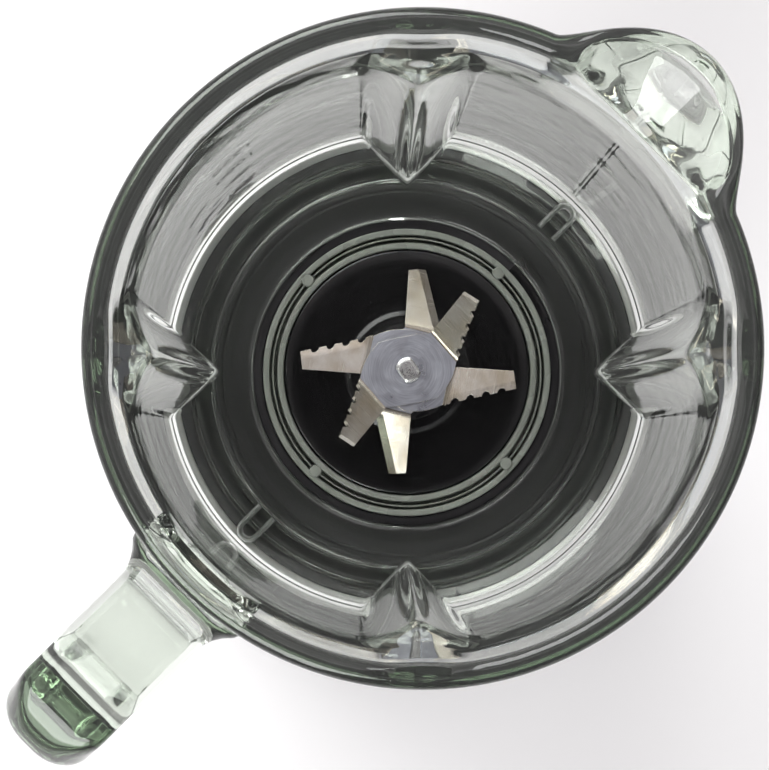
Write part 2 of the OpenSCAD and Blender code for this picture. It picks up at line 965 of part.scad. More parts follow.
module drive_coupling() {
    color([0.12, 0.12, 0.12])
        difference() {
            union() {
                cylinder_from(16, coupling_z, socket_z - 2.4);
                translate([0, 0, coupling_z]) star(13.5, 6, 8, coupling_top_z - coupling_z - gap);
            }
            cylinder_from(motor_shaft_r, coupling_z - 1, coupling_top_z - 3);
        }
}

// ---- controls that move ----

module speed_knob() {
    color([0.1, 0.1, 0.1])
        on_front(0, knob_v)
        difference() {
            union() {
                translate([0, 0, gap]) cylinder(r = knob_r, h = 5);
                translate([0, 0, gap + 5]) cylinder(r1 = knob_r - 1.5, r2 = knob_r - 3, h = knob_h - 5);
                around(24, knob_r - 2.1, 0)
                    translate([0, 0, gap + 4.9])
                    cylinder(r1 = 1.2, r2 = 0.8, h = knob_h - 6, $fn = 16);
            }
            translate([-0.8, knob_r - 12, gap + knob_h - 0.6]) cube([1.6, 10, 2]);
            translate([0, 0, -1]) cylinder(r = 3, h = 10);
        }
}

module knob_shaft() {
    color("silver")
        on_front(0, knob_v)
        translate([0, 0, -panel_t - 6])
        cylinder(r = 3, h = panel_t + 6 + 9);
}

module button(side) {
    on_front(side * button_u, button_v) {
        translate([0, 0, -panel_t + 0.4])
            linear_extrude(height = panel_t + 2.4)
            round_rect(button_w, button_h, 3);
        translate([0, 0, -panel_t - 7 + button_travel + gap])
            cylinder(r = stem_r, h = 7 - button_travel - gap + 0.5);
    }
}

module power_button() {
    color("silver") button(-1);
}

module pulse_button() {
    color("silver") button(1);
}

glass_jar();
jar_gasket();
blade_carrier();
locking_collar();
upper_bush();
lower_bush();
shaft_seal();
blade_shaft();
upper_blade();
middle_blade();
lower_blade();
blade_spacers();
thrust_washer();
shaft_clip();
driven_coupling();
housing();
top_deck();
seat_pad();
skirt();
bottom_plate();
foot_ring();
foot_screws();
plate_screws();
deck_screws();
cord_gland();
control_panel();
knob_bezel();
speed_switch();
button_switches();
circuit_board();
thermal_fuse();
stator_core();
field_windings();
upper_bracket();
lower_bracket();
upper_bearing();
lower_bearing();
motor_bolts();
motor_mounts();
brush_holders();
carbon_brushes();
brush_springs();
motor_shaft();
rotor_core();
rotor_windings();
commutator();
cooling_fan();
drip_slinger();
drive_coupling();
speed_knob();
knob_shaft();
power_button();
pulse_button();
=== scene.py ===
import json
import math

import bmesh
import bpy
import numpy as np
from mathutils import Matrix, Vector


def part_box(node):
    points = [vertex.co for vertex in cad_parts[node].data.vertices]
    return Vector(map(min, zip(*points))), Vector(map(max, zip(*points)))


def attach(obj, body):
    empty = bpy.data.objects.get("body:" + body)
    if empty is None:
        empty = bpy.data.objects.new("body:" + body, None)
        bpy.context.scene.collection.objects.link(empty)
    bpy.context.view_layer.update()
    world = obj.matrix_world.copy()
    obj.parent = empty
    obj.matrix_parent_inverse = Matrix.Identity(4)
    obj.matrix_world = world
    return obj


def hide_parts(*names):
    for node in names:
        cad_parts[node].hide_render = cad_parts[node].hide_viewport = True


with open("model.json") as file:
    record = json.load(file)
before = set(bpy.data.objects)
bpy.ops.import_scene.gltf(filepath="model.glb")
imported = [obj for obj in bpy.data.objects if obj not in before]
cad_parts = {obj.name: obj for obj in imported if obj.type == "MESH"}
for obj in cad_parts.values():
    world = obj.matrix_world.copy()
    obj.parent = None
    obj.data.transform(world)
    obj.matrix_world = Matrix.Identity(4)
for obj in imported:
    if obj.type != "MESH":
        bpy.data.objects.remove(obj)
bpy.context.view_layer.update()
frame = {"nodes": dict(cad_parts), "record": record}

MM = 0.001  # the script works in millimetres and writes metres
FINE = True
NOISE_LOW, NOISE_HIGH = 0.3, 0.7  # where nearly all of a noise pattern's values lie

# The jar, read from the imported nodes
JAR_LOW, JAR_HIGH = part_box("glass_jar")
RIM_Z = JAR_HIGH.z / MM
HANDLE_REACH = JAR_HIGH.x / MM
RIM_R = JAR_HIGH.y / MM + 0.7  # the photographed rim is a little wider than the CAD's
SPOUT_REACH = -JAR_LOW.x / MM
NECK_FOOT_Z = JAR_LOW.z / MM
MOUTH_R = RIM_R - 6.0
WALL_IN_R = 67.9
FLOOR_Z = RIM_Z - 168
FLOOR_UNDER_Z = FLOOR_Z - 9
HOLE_R = 44  # the opening in the glass floor
DISC_R = 34.8  # the polished black disc under the blades
RING_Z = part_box("jar_gasket")[1].z / MM  # the top of the gasket's nubs


# --------------------------------------------------------------- mesh helpers

def smoothstep(x, low, high):
    """0 below low, 1 above high and a smooth rise between them."""
    t = np.clip((np.asarray(x, float) - low) / (high - low), 0, 1)
    return t * t * (3 - 2 * t)


def rise_and_fall(z, low, risen, falling, high):
    """0 below low, 1 from risen to falling, and 0 above high."""
    return smoothstep(z, low, risen) * (1 - smoothstep(z, falling, high))


def smooth_min(a, b, blend):
    """The smaller of a and b, with the corner between them rounded over blend."""
    h = np.clip(0.5 + 0.5 * (b - a) / blend, 0, 1)
    return b + (a - b) * h - blend * h * (1 - h)


def rounded(corners, closed=True, step=0.6):
    """Points along a polyline of corners (x, y, radius), each corner rounded by its radius."""
    count = len(corners)
    points = []
    for i, (x, y, radius) in enumerate(corners):
        here = np.array([x, y], float)
        if radius <= 0 or (not closed and i in (0, count - 1)):
            points.append(here)
            continue
        back = np.array(corners[i - 1][:2], float) - here
        ahead = np.array(corners[(i + 1) % count][:2], float) - here
        back_length, ahead_length = np.linalg.norm(back), np.linalg.norm(ahead)
        back /= back_length
        ahead /= ahead_length
        half = 0.5 * math.acos(float(np.clip(back @ ahead, -1, 1)))
        if half > math.radians(89.5):
            points.append(here)
            continue
        reach = min(radius / math.tan(half), 0.49 * back_length, 0.49 * ahead_length)
        radius = reach * math.tan(half)
        middle = back + ahead
        centre = here + middle / np.linalg.norm(middle) * radius / math.sin(half)
        start = here + back * reach - centre
        end = here + ahead * reach - centre
        first = math.atan2(start[1], start[0])
        turn = math.atan2(end[1], end[0]) - first
        turn = (turn + math.pi) % (2 * math.pi) - math.pi
        pieces = max(3, math.ceil(abs(turn) * radius / step))
        for k in range(pieces + 1):
            angle = first + turn * k / pieces
            points.append(centre + radius * np.array([math.cos(angle), math.sin(angle)]))
    return np.array(points)


def spaced(points, step, closed=True):
    """The same polyline with long stretches divided, so that no stretch is longer than step."""
    result = []
    last = len(points) if closed else len(points) - 1
    for i in range(last):
        a, b = points[i], points[(i + 1) % len(points)]
        pieces = max(1, math.ceil(np.linalg.norm(b - a) / step))
        for k in range(pieces):
            result.append(a + (b - a) * k / pieces)
    if not closed:
        result.append(points[-1])
    return np.array(result)


def even_loop(points, count):
    """A closed polyline with count points at even distances."""
    closed = np.vstack([points, points[:1]])
    lengths = np.concatenate([[0], np.cumsum(np.linalg.norm(np.diff(closed, axis=0), axis=1))])
    wanted = np.linspace(0, lengths[-1], count, endpoint=False)
    return np.stack([np.interp(wanted, lengths, closed[:, i]) for i in (0, 1)], axis=1)


def grid_faces(rows, columns, wrap_rows=True):
    """Quads between neighbouring rows of vertices; each row closes on itself."""
    faces = []
    for i in range(rows if wrap_rows else rows - 1):
        a, b = i * columns, ((i + 1) % rows) * columns
        for j in range(columns):
            k = (j + 1) % columns
            faces.append((a + j, a + k, b + k, b + j))
    return faces


def capped_faces(rows, columns, flip=False):
    """Faces of rows of points joined into a tube with both its ends closed."""
    order = -1 if flip else 1
    first = tuple(range(columns))[::order]
    last = tuple(range((rows - 1) * columns, rows * columns))[::-order]
    return [*grid_faces(rows, columns, wrap_rows=False), first, last]


def revolve(profile, count):
    """Vertices and faces of a profile of (radius, height) points turned round Z.

    A profile whose ends lie on the axis closes there. Any other profile closes on itself.
    """
    profile = np.asarray(profile, float)
    on_axis = profile[0][0] < 1e-6 and profile[-1][0] < 1e-6
    inner = profile[1:-1] if on_axis else profile
    angles = np.linspace(0, 2 * math.pi, count, endpoint=False)
    verts = [(r * math.cos(a), r * math.sin(a), z) for r, z in inner for a in angles]
    faces = grid_faces(len(inner), count, wrap_rows=not on_axis)
    if on_axis:
        first, last = len(verts), len(verts) + 1
        verts += [(0, 0, profile[0][1]), (0, 0, profile[-1][1])]
        end = (len(inner) - 1) * count
        for j in range(count):
            k = (j + 1) % count
            faces.append((first, k, j))
            faces.append((last, end + j, end + k))
    return verts, faces


def add_object(name, data):
    """A new object in the scene, holding a mesh, a lamp or a camera."""
    made = bpy.data.objects.new(name, data)
    bpy.context.scene.collection.objects.link(made)
    return made


def smooth(mesh, sharp):
    """Smooth shading, except over edges sharper than an angle in degrees."""
    mesh.shade_smooth()
    mesh.set_sharp_from_angle(angle=math.radians(sharp))


def make_object(name, verts, faces, material, sharp=35):
    """A mesh object from vertices in millimetres, smooth except over sharp edges."""
    mesh = bpy.data.meshes.new(name)
    mesh.from_pydata((np.asarray(verts, float) * MM).tolist(), [], faces)
    mesh.update()
    work = bmesh.new()
    work.from_mesh(mesh)
    bmesh.ops.recalc_face_normals(work, faces=work.faces)
    work.to_mesh(mesh)
    work.free()
    smooth(mesh, sharp)
    mesh.materials.append(material)
    return add_object(name, mesh)


def place(piece, body, slot, *nodes):
    """The piece rides on a body and stands for any CAD nodes; slot is not used."""
    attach(piece, body)
    if nodes:
        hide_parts(*nodes)


def add_modifier_and_apply(piece, kind, **settings):
    """Adds one modifier, applies it to the mesh and leaves none behind."""
    modifier = piece.modifiers.new(kind, kind)
    for key, value in settings.items():
        setattr(modifier, key, value)
    graph = bpy.context.evaluated_depsgraph_get()
    result = bpy.data.meshes.new_from_object(piece.evaluated_get(graph))
    piece.modifiers.clear()
    old = piece.data
    piece.data = result
    bpy.data.meshes.remove(old)


def combine(piece, operation, made):
    """Joins a closed shape (vertices, faces) to a piece, or cuts it out of the piece."""
    tool = make_object("tool", *made, piece.data.materials[0])
    add_modifier_and_apply(piece, "BOOLEAN", operation=operation, object=tool, solver="EXACT")
    bpy.data.objects.remove(tool)


def repaint(piece, material, chosen):
    """Gives a second material to the faces whose centre, in millimetres, is chosen."""
    piece.data.materials.append(material)
    for face in piece.data.polygons:
        if chosen(*(face.center / MM)):
            face.material_index = 1


def clean_lathe(name, corners, material, step=0.5, stretch=4.0, count=None):
    """A turned piece from a closed outline of (radius, height, corner radius)."""
    profile = spaced(rounded(corners, step=step), stretch)
    return make_object(name, *revolve(profile, count or (240 if FINE else 96)), material)


# --------------------------------------------------------------- materials

def node(owner, kind, **settings):
    """Adds a node to a material or a world; a setting named after an input sets that input."""
    made = owner.node_tree.nodes.new(kind)
    for key, value in settings.items():
        label = key.replace("_", " ")
        if label in made.inputs:
            made.inputs[label].default_value = value
        else:
            setattr(made, key, value)
    return made


def feed(owner, kind, *sources, output=0, **settings):
    """Adds a node, feeds its first inputs from sockets or constants, and gives an output."""
    made = node(owner, kind, **settings)
    for i, source in enumerate(sources):
        if isinstance(source, bpy.types.NodeSocket):
            owner.node_tree.links.new(source, made.inputs[i])
        else:
            made.inputs[i].default_value = source
    return made.outputs[output]


def object_coordinates(material, scale=(1, 1, 1)):
    """Object coordinates in metres, stretched by scale."""
    where = node(material, "ShaderNodeTexCoord").outputs["Object"]
    return feed(material, "ShaderNodeMapping", where, Scale=scale)


def round_coordinates(material, scale=(1, 1, 1)):
    """Radius, angle and height round the drive axis, for marks that run round it."""
    where = node(material, "ShaderNodeTexCoord").outputs["Object"]
    x, y, z = feed(material, "ShaderNodeSeparateXYZ", where).node.outputs
    flat = feed(material, "ShaderNodeCombineXYZ", x, y)
    length = feed(material, "ShaderNodeVectorMath", flat, output="Value", operation="LENGTH")
    angle = feed(material, "ShaderNodeMath", y, x, operation="ARCTAN2")
    joined = feed(material, "ShaderNodeCombineXYZ", length, angle, z)
    return feed(material, "ShaderNodeMapping", joined, Scale=scale)


def colour_ramp(owner, value, stops):
    """Colours along a value; each stop is its place and its red, green and blue."""
    made = node(owner, "ShaderNodeValToRGB")
    elements = made.color_ramp.elements
    elements[0].position = stops[0][0]
    elements[1].position = stops[-1][0]
    for position, *_ in stops[1:-1]:
        elements.new(position)
    for element, (_, *colour) in zip(elements, stops):
        element.color = (*colour, 1)
    owner.node_tree.links.new(value, made.inputs["Fac"])
    return made.outputs["Color"]


def dress(material, pattern, bump=None, colours=None, rough=None):
    """Lets a noise pattern drive bump (distance, strength), base colour and roughness.

    A second bump adds to the first.
    """
    shader = material.node_tree.nodes["Principled BSDF"]
    join = material.node_tree.links.new
    if bump:
        distance, strength = bump
        normal = shader.inputs["Normal"]
        made = node(material, "ShaderNodeBump", Distance=distance, Strength=strength)
        join(pattern, made.inputs["Height"])
        if normal.is_linked:
            join(normal.links[0].from_socket, made.inputs["Normal"])
        join(made.outputs["Normal"], normal)
    if colours:
        dark, light = colours
        ramp = colour_ramp(material, pattern, ((NOISE_LOW, *dark), (NOISE_HIGH, *light)))
        join(ramp, shader.inputs["Base Color"])
    if rough:
        ranged = feed(material, "ShaderNodeMapRange", pattern, NOISE_LOW, NOISE_HIGH, *rough)
        join(ranged, shader.inputs["Roughness"])
    return material


def grain(material, scale, detail, stretch=None, **finish):
    """Dresses a material with noise, or with noise stretched along and round the axis."""
    where = round_coordinates(material, stretch) if stretch else object_coordinates(material)
    noise = feed(material, "ShaderNodeTexNoise", where, Scale=scale, Detail=detail)
    return dress(material, noise, **finish)


def new_material(name, colour, metallic=0.0, roughness=0.5, **inputs):
    """A Principled material, with constants set on the shader itself."""
    material = bpy.data.materials.new(name)
    material.use_nodes = True
    shader = material.node_tree.nodes["Principled BSDF"]
    shader.inputs["Base Color"].default_value = (*colour, 1)
    shader.inputs["Metallic"].default_value = metallic
    shader.inputs["Roughness"].default_value = roughness
    for key, value in inputs.items():
        shader.inputs[key.replace("_", " ")].default_value = value
    return material


def tinted(colour, factor):
    """A colour made darker or lighter by a factor, within what a surface can have."""
    return tuple(min(1.0, c * factor) for c in colour)


def glass_material():
    """Clear pressed glass, grey-green where light runs a long way through it."""
    material = new_material(
        "jar_glass", (0.965, 0.97, 0.96), roughness=0.0, IOR=1.52, Transmission_Weight=0.976
    )
    tint = (0.52, 0.64, 0.49, 1)
    inside = feed(material, "ShaderNodeVolumeAbsorption", tint, 18.0)
    output = material.node_tree.nodes["Material Output"]
    material.node_tree.links.new(inside, output.inputs["Volume"])
    return material


def frosted_material():
    """The glass of the two floor lugs, made whitish and less clear as a painted highlight."""
    material = new_material(
        "lug_glass", (0.86, 0.90, 0.84), roughness=0.12, IOR=1.52, Transmission_Weight=0.62
    )
    # Whitish tones: painted highlight, so that the lugs show bright.
    tones = ((0.50, 0.54, 0.49), (0.95, 0.98, 0.94))
    return grain(material, 700, 3, colours=tones, rough=(0.08, 0.22))


def gasket_material():
    """Translucent grey silicone."""
    material = new_material(
        "gasket_silicone", (0.50, 0.53, 0.49), roughness=0.22, IOR=1.42, Transmission_Weight=0.1
    )
    tones = ((0.36, 0.385, 0.34), (0.39, 0.415, 0.37))
    return grain(material, 90, 2, colours=tones, rough=(0.24, 0.3))


def black_gloss_material():
    """Glossy black moulding with a faint orange peel and hairline scratches."""
    material = new_material("black_gloss", (0.008, 0.008, 0.0084), roughness=0.16)
    grain(material, 420, 2, bump=(0.00002, 0.35))
    return grain(material, 1, 3, stretch=(5200, 3, 400), rough=(0.10, 0.24))


def black_matte_material(name, tone=0.03, roughness=0.55, grain_scale=2200):
    """Matte moulding or rubber with a fine spark-eroded grain."""
    material = new_material(name, (tone, tone, tone), roughness=roughness)
    grain(material, grain_scale, 2, bump=(0.00006, 0.5))
    tones = ((tone * 0.8,) * 3, (tone * 1.3,) * 3)
    return grain(material, 60, 3, colours=tones, rough=(roughness - 0.06, roughness + 0.08))


def black_turned_material():
    """Black moulding with satin and gloss bands of roughness that run round the axis, and rings of
    lighter grey in its colour that are painted sheen.
    """
    material = new_material("black_satin_painted_sheen", (0.02, 0.019, 0.021), roughness=0.34)
    # The lighter grey rings in the colour are painted sheen; the roughness bands are real.
    tones = ((0.007, 0.0065, 0.008), (0.060, 0.056, 0.063))
    grain(material, 1, 3, stretch=(170, 0.5, 60), colours=tones, rough=(0.24, 0.5))
    return grain(material, 1, 3, stretch=(3000, 2, 400), bump=(0.00001, 0.4))


def brushed_material(name, colour, along, roughness=0.3, depth=0.00001):
    """Brushed metal; along stretches the grain: (fine, long, fine) brushes along Y."""
    material = new_material(name, colour, metallic=1.0, roughness=roughness)
    where = object_coordinates(material, along)
    lines = feed(material, "ShaderNodeTexNoise", where, Scale=1, Detail=5)
    tones = (tinted(colour, 0.86), tinted(colour, 1.08))
    return dress(material, lines, (depth, 0.6), tones, (roughness - 0.08, roughness + 0.1))


def spun_material(name, colour, stretch, roughness=0.3, depth=0.00001):
    """Metal brushed round the drive axis."""
    material = new_material(name, colour, metallic=1.0, roughness=roughness)
    tones = (tinted(colour, 0.88), colour)
    return grain(material, 1, 5, stretch=stretch, bump=(depth, 0.5), colours=tones,
                 rough=(roughness - 0.07, roughness + 0.1))


def hub_material():
    """Steel with fine swirl marks left by a polishing wheel."""
    material = new_material("steel_hub", (0.56, 0.58, 0.64), metallic=1.0, roughness=0.3)
    tones = ((0.46, 0.48, 0.54), (0.66, 0.68, 0.74))
    grain(material, 1, 4, stretch=(2600, 1.5, 100), bump=(0.000012, 0.7), colours=tones)
    return grain(material, 220, 4, rough=(0.26, 0.42))


def blade_material(name, turn, tone):
    """Ground stainless steel with fine lines across the arms and a faint warm stain; tone brightens
    or darkens each plate's copy of the steel as painted light and painted shade.
    """
    material = new_material(name, (0.74, 0.71, 0.64), metallic=1.0, roughness=0.24)
    where = node(material, "ShaderNodeTexCoord").outputs["Object"]
    turned = feed(
        material, "ShaderNodeMapping", where, vector_type="TEXTURE",
        Rotation=(0, 0, math.radians(turn + 84)), Scale=(0.012, 0.00035, 0.01)
    )
    lines = feed(material, "ShaderNodeTexNoise", turned, Scale=1, Detail=4)
    dress(material, lines, bump=(0.000005, 0.5), rough=(0.19, 0.28))
    # tone scales this steel's colour: painted light above 1, painted shade below 1.
    tones = (tinted((0.58, 0.52, 0.41), tone), tinted((0.80, 0.77, 0.70), tone))
    return grain(material, 130, 4, bump=(0.00012, 0.4), colours=tones)


GLASS = glass_material()
GASKET = gasket_material()
BLACK_GLOSS = black_gloss_material()
BLACK_SATIN_PAINTED_SHEEN = black_turned_material()
TRIM_METAL = spun_material("satin_trim", (0.85, 0.85, 0.84), (3000, 1, 2000), 0.5)
HOUSING_STEEL = spun_material("brushed_housing", (0.74, 0.74, 0.75), (60, 0.6, 5200), 0.3,
                              depth=0.000012)
CHROME = brushed_material("satin_chrome", (0.80, 0.80, 0.82), (900, 900, 900), 0.12, 0.000004)
BASE_MATTE = black_matte_material("base_matte", 0.035, 0.5)
KNOB_BLACK = black_matte_material("knob_soft_touch", 0.028, 0.42, 3000)
RUBBER = black_matte_material("rubber", 0.035, 0.7, 1600)
PRINT_WHITE = black_matte_material("dial_print", 0.72, 0.5, 1800)


# --------------------------------------------------------------- glass jar

RIB_ANGLES = [45, 135, 225, 315]
RIB_EDGE = math.radians(10.2)  # a rib's face meets the wall at this angle from the crest
RIB_BLEND = 1.6  # rounds the corner between rib and wall
CREST_FOOT_R = 51.8  # a rib's crest at the floor
SCOOP_Z = FLOOR_Z + 129  # the scooped end of a rib starts here, at the crest
SCOOP_R = 62.2  # the crest's radius there
GROOVE_GLASS = 4.4  # glass between a rib's crest and the groove behind it
GROOVE_LEAN = 0.035  # how much more the groove leans than the crest
SEAM_ANGLE = 181.6  # the mould's parting line runs up the wall here
SPOUT_ANGLE = 22  # half of the angle that the spout takes from the rim
LENS_ANGLE = 16  # half of the angle of its inner opening
CREASE_X = 73.3  # the straight crease across the spout's foot
SHELF_RISE = 1.6  # how much the shelf between wall and crease rises

HANDLE_TOP_Z = RIM_Z - 10
HANDLE_FOOT_Z = HANDLE_TOP_Z - 138
HANDLE_ROOT_X = 70.6
HANDLE_HALF_WIDTH = 12.0
WALL_X = 74.5  # where the handle leaves the wall

LUG_R = 64.4
LUG_HALF_GAP = 2.7  # from a lug's middle line to the middle of its bar
LUG_BAR = 1.7
LUG_HEIGHT = 4.9


def around_angles():
    """Angles round the jar in degrees, closer together over the ribs and the spout."""
    close = 0.4 if FINE else 1.0
    wide = 1.0 if FINE else 2.0
    rib_reach, spout_reach = 19, SPOUT_ANGLE + 3
    angles = []
    here = 0.0
    while here < 360 - 0.2:
        angles.append(here)
        near_rib = min(abs(here - rib) for rib in RIB_ANGLES) < rib_reach
        near_spout = abs(here - 180) < spout_reach
        here += close if near_rib or near_spout else wide
    return np.array(angles)


def rib_wedge(nearest, crest, wall, edge):
    """The radius of a wedge's faces from its crest out to the wall."""
    crest_round = 1.5 / 55
    phi = np.sqrt(np.radians(nearest) ** 2 + crest_round**2) - crest_round * 0.35
    half_angle = math.atan2(wall * math.sin(edge), wall * math.cos(edge) - crest)
    opening = np.maximum(half_angle - phi, 0.02)
    return np.minimum(crest * math.sin(half_angle) / np.sin(opening), 400)


def rib_shift(angles, z, wall, outside=False):
    """How far a wall moves in at each angle for the nearest rib.

    A rib is a wedge whose crest leans outward and whose end is scooped out.
    Outside, a groove follows it and fades out towards the top.
    """
    nearest = np.min([np.abs((angles - rib + 180) % 360 - 180) for rib in RIB_ANGLES], axis=0)
    crest = CREST_FOOT_R + (SCOOP_R - CREST_FOOT_R) * (z - FLOOR_Z) / (SCOOP_Z - FLOOR_Z)
    if outside:
        crest = min(crest + GROOVE_GLASS + GROOVE_LEAN * (z - FLOOR_Z), wall + 0.8)
        face = rib_wedge(nearest, crest, wall + 1.0, RIB_EDGE * 0.92)
    else:
        face = rib_wedge(nearest, min(crest, WALL_IN_R - 0.5), WALL_IN_R, RIB_EDGE)
        scoop = SCOOP_R + 0.206 * (z - SCOOP_Z) + 1.8 * (nearest / 8) ** 2
        face = -smooth_min(-face, -scoop, 0.9)
    return smooth_min(face, wall, RIB_BLEND) - wall


def hump(phi, width):
    """1 in the spout's middle and 0 at width degrees from it."""
    return np.maximum(0, 1 - (phi / width) ** 2)


def spout_outer(phi, z):
    """How far the outer wall bulges for the spout at phi degrees from its middle."""
    reach = SPOUT_REACH - RIM_R
    return reach * hump(phi, SPOUT_ANGLE) ** 1.5 * smoothstep(z, RIM_Z - 44, RIM_Z - 1.5)


def spout_inner(phi, z, wall):
    """How far the inner wall opens: a shelf out to a straight crease, then a dish."""
    crease_z = RIM_Z - 11 + 10.4 * (phi / LENS_ANGLE) ** 2
    crease_shift = CREASE_X / np.cos(np.radians(phi)) - wall
    lip_shift = crease_shift + 13.0 * hump(phi, LENS_ANGLE) ** 0.7
    rising = np.clip((z - crease_z) / SHELF_RISE + 1, 0, 1)
    opening = np.clip((z - crease_z) / np.maximum(RIM_Z - 1.2 - crease_z, 0.5), 0, 1)
    shift = crease_shift * rising + (lip_shift - crease_shift) * opening**0.8
    return shift * (1 - smoothstep(np.abs(phi), LENS_ANGLE - 0.5, LENS_ANGLE + 4))


def softened_spout(phi, z, wall):
    """The inner opening with its creases rounded, as an average over places close by."""
    places = [(across, up) for up in (-0.7, 0, 0.7) for across in (-0.6, 0, 0.6)]
    return sum(spout_inner(phi + across, z + up, wall) for across, up in places) / len(places)


def spout_shift(phi, r, z, outside):
    """How far the wall moves out for the spout, changing over across the rim."""
    across = np.clip((RIM_R - r) / (RIM_R - MOUTH_R), 0, 1)
    if z < RIM_Z - 3:
        across = 0.0 if outside else 1.0
    outer = spout_outer(phi, min(z, RIM_Z - 1.5) if outside else RIM_Z)
    inner = softened_spout(phi, RIM_Z if outside else z, MOUTH_R if outside else r)
    return (1 - across) * outer + across * inner


def ripple(angles, z, seed, waves=34):
    """Gentle unevenness of pressed glass, in millimetres, seamless round the jar."""
    random = np.random.default_rng(seed)
    total = 0
    for _ in range(waves):
        size = random.uniform(6, 26)
        heading = random.uniform(0, math.pi)
        turns = round(math.cos(heading) * 2 * math.pi * 70 / size)
        climb = math.sin(heading) * 2 * math.pi / size
        phase = random.uniform(0, 2 * math.pi)
        total = total + size / 20 * np.sin(np.radians(angles) * turns + climb * z + phase)
    return total / math.sqrt(waves)


def outer_wall(angles, r, z):
    """The outer wall's radius at each angle: ripple, the mould's seam and the rib grooves."""
    fade = rise_and_fall(z, FLOOR_Z, FLOOR_Z + 8, RIM_Z - 14, RIM_Z - 6)
    near_seam = np.exp(-(((angles - 179) / 9) ** 2))
    waves = 0.027 * (1 + 1.4 * near_seam) * ripple(angles, z, 11) * fade
    seam = 0.28 * np.exp(-(((angles - SEAM_ANGLE) / 0.45) ** 2)) * fade
    groove = rise_and_fall(z, FLOOR_Z - 1, FLOOR_Z + 9, RIM_Z - 34, RIM_Z - 16)
    return r + waves + seam + rib_shift(angles, max(z, FLOOR_Z), r, outside=True) * groove


def inner_wall(angles, r, z):
    """The inner wall's radius at each angle: the ribs and a fainter ripple."""
    fade = rise_and_fall(z, FLOOR_Z + 2, FLOOR_Z + 10, RIM_Z - 14, RIM_Z - 6)
    return r + rib_shift(angles, max(z, FLOOR_Z), r) + 0.008 * ripple(angles, z, 23) * fade


def floor_ring(angles, r, floor_r):
    """The radius of a ring of the floor, drawn in where the ribs stand on it."""
    foot = floor_r + rib_shift(angles, FLOOR_Z, floor_r + 2.4)
    return HOLE_R + (r - HOLE_R) * np.maximum(foot - HOLE_R, 1.5) / (floor_r - HOLE_R)


def jar_outline():
    """The jar's section: a closed line of (radius, height) points, finer near the rim."""
    corners = [
        (61.5, NECK_FOOT_Z, 1.2), (61.5, FLOOR_UNDER_Z + 0.6, 1.2),
        (71.4, FLOOR_UNDER_Z + 3.4, 1.4), (72.2, FLOOR_Z + 4, 10), (73.9, RIM_Z - 20, 30),
        (RIM_R, RIM_Z - 8, 8), (RIM_R, RIM_Z, 2.6), (MOUTH_R + 0.6, RIM_Z, 2.6),
        (MOUTH_R + 0.2, RIM_Z - 6, 8), (WALL_IN_R + 0.6, RIM_Z - 16, 6),
        (WALL_IN_R, RIM_Z - 44, 40), (WALL_IN_R, FLOOR_Z, 2.4), (HOLE_R, FLOOR_Z, 0.8),
        (HOLE_R, FLOOR_UNDER_Z, 0.8), (56, FLOOR_UNDER_Z, 0.8), (56, NECK_FOOT_Z, 1.2)
    ]
    coarse = spaced(rounded(corners, step=0.5), 1.3 if FINE else 3.0)
    profile = []
    for here, after in zip(coarse, np.roll(coarse, -1, axis=0)):
        profile.append(here)
        if FINE and min(here[1], after[1]) > RIM_Z - 18:
            profile.append((here + after) / 2)
    return np.array(profile)


def jar_body():
    """The jar's shell as one closed surface: walls, ribs, spout, rim, floor and neck."""
    profile = jar_outline()
    off_middle = np.abs(profile[:, 0] - (RIM_R + MOUTH_R) / 2)
    top = int(np.argmax(profile[:, 1] - 1e-3 * off_middle))
    inner_floor = (np.arange(len(profile)) > top) & (profile[:, 1] < FLOOR_Z + 0.02)
    floor_start = int(np.argmax(inner_floor))
    angles = around_angles()
    turn = np.radians(angles)
    phi = angles - 180
    rings = []
    for i, (r, z) in enumerate(profile):
        radius = np.full(len(angles), r)
        height = np.full(len(angles), z)
        if i <= top and z > FLOOR_Z - 4:
            radius = outer_wall(angles, r, z)
        elif top < i < floor_start:
            radius = inner_wall(angles, r, z)
        elif i >= floor_start and z > FLOOR_Z - 1.3 and r > HOLE_R:
            radius = floor_ring(angles, r, profile[floor_start][0])
        if z > RIM_Z - 50 and i < floor_start:
            radius = radius + spout_shift(phi, r, z, outside=i <= top)
            height -= 1.2 * hump(phi, SPOUT_ANGLE) ** 1.5 * smoothstep(z, RIM_Z - 14, RIM_Z)
        rings.append(np.stack([radius * np.cos(turn), radius * np.sin(turn), height], axis=1))
    return np.concatenate(rings), grid_faces(len(profile), len(angles))


def handle_loop(far, top, low, top_round, low_round, counts):
    """One side of the handle's outline: out, round the corner, down, round and back in."""
    line, arc, back = counts
    top_x, top_z = far - top_round, top - top_round
    low_x, low_z = far - low_round, low + low_round
    points = [(HANDLE_ROOT_X + (top_x - HANDLE_ROOT_X) * k / line, top) for k in range(line)]
    for k in range(arc):
        a = math.pi / 2 * (1 - k / arc)
        points.append((top_x + top_round * math.cos(a), top_z + top_round * math.sin(a)))
    points += [(far, top_z - (top_z - low_z) * k / back) for k in range(back)]
    for k in range(arc):
        a = -math.pi / 2 * k / arc
        points.append((low_x + low_round * math.cos(a), low_z + low_round * math.sin(a)))
    points += [(low_x - (low_x - HANDLE_ROOT_X) * k / line, low) for k in range(line + 1)]
    return np.array(points)


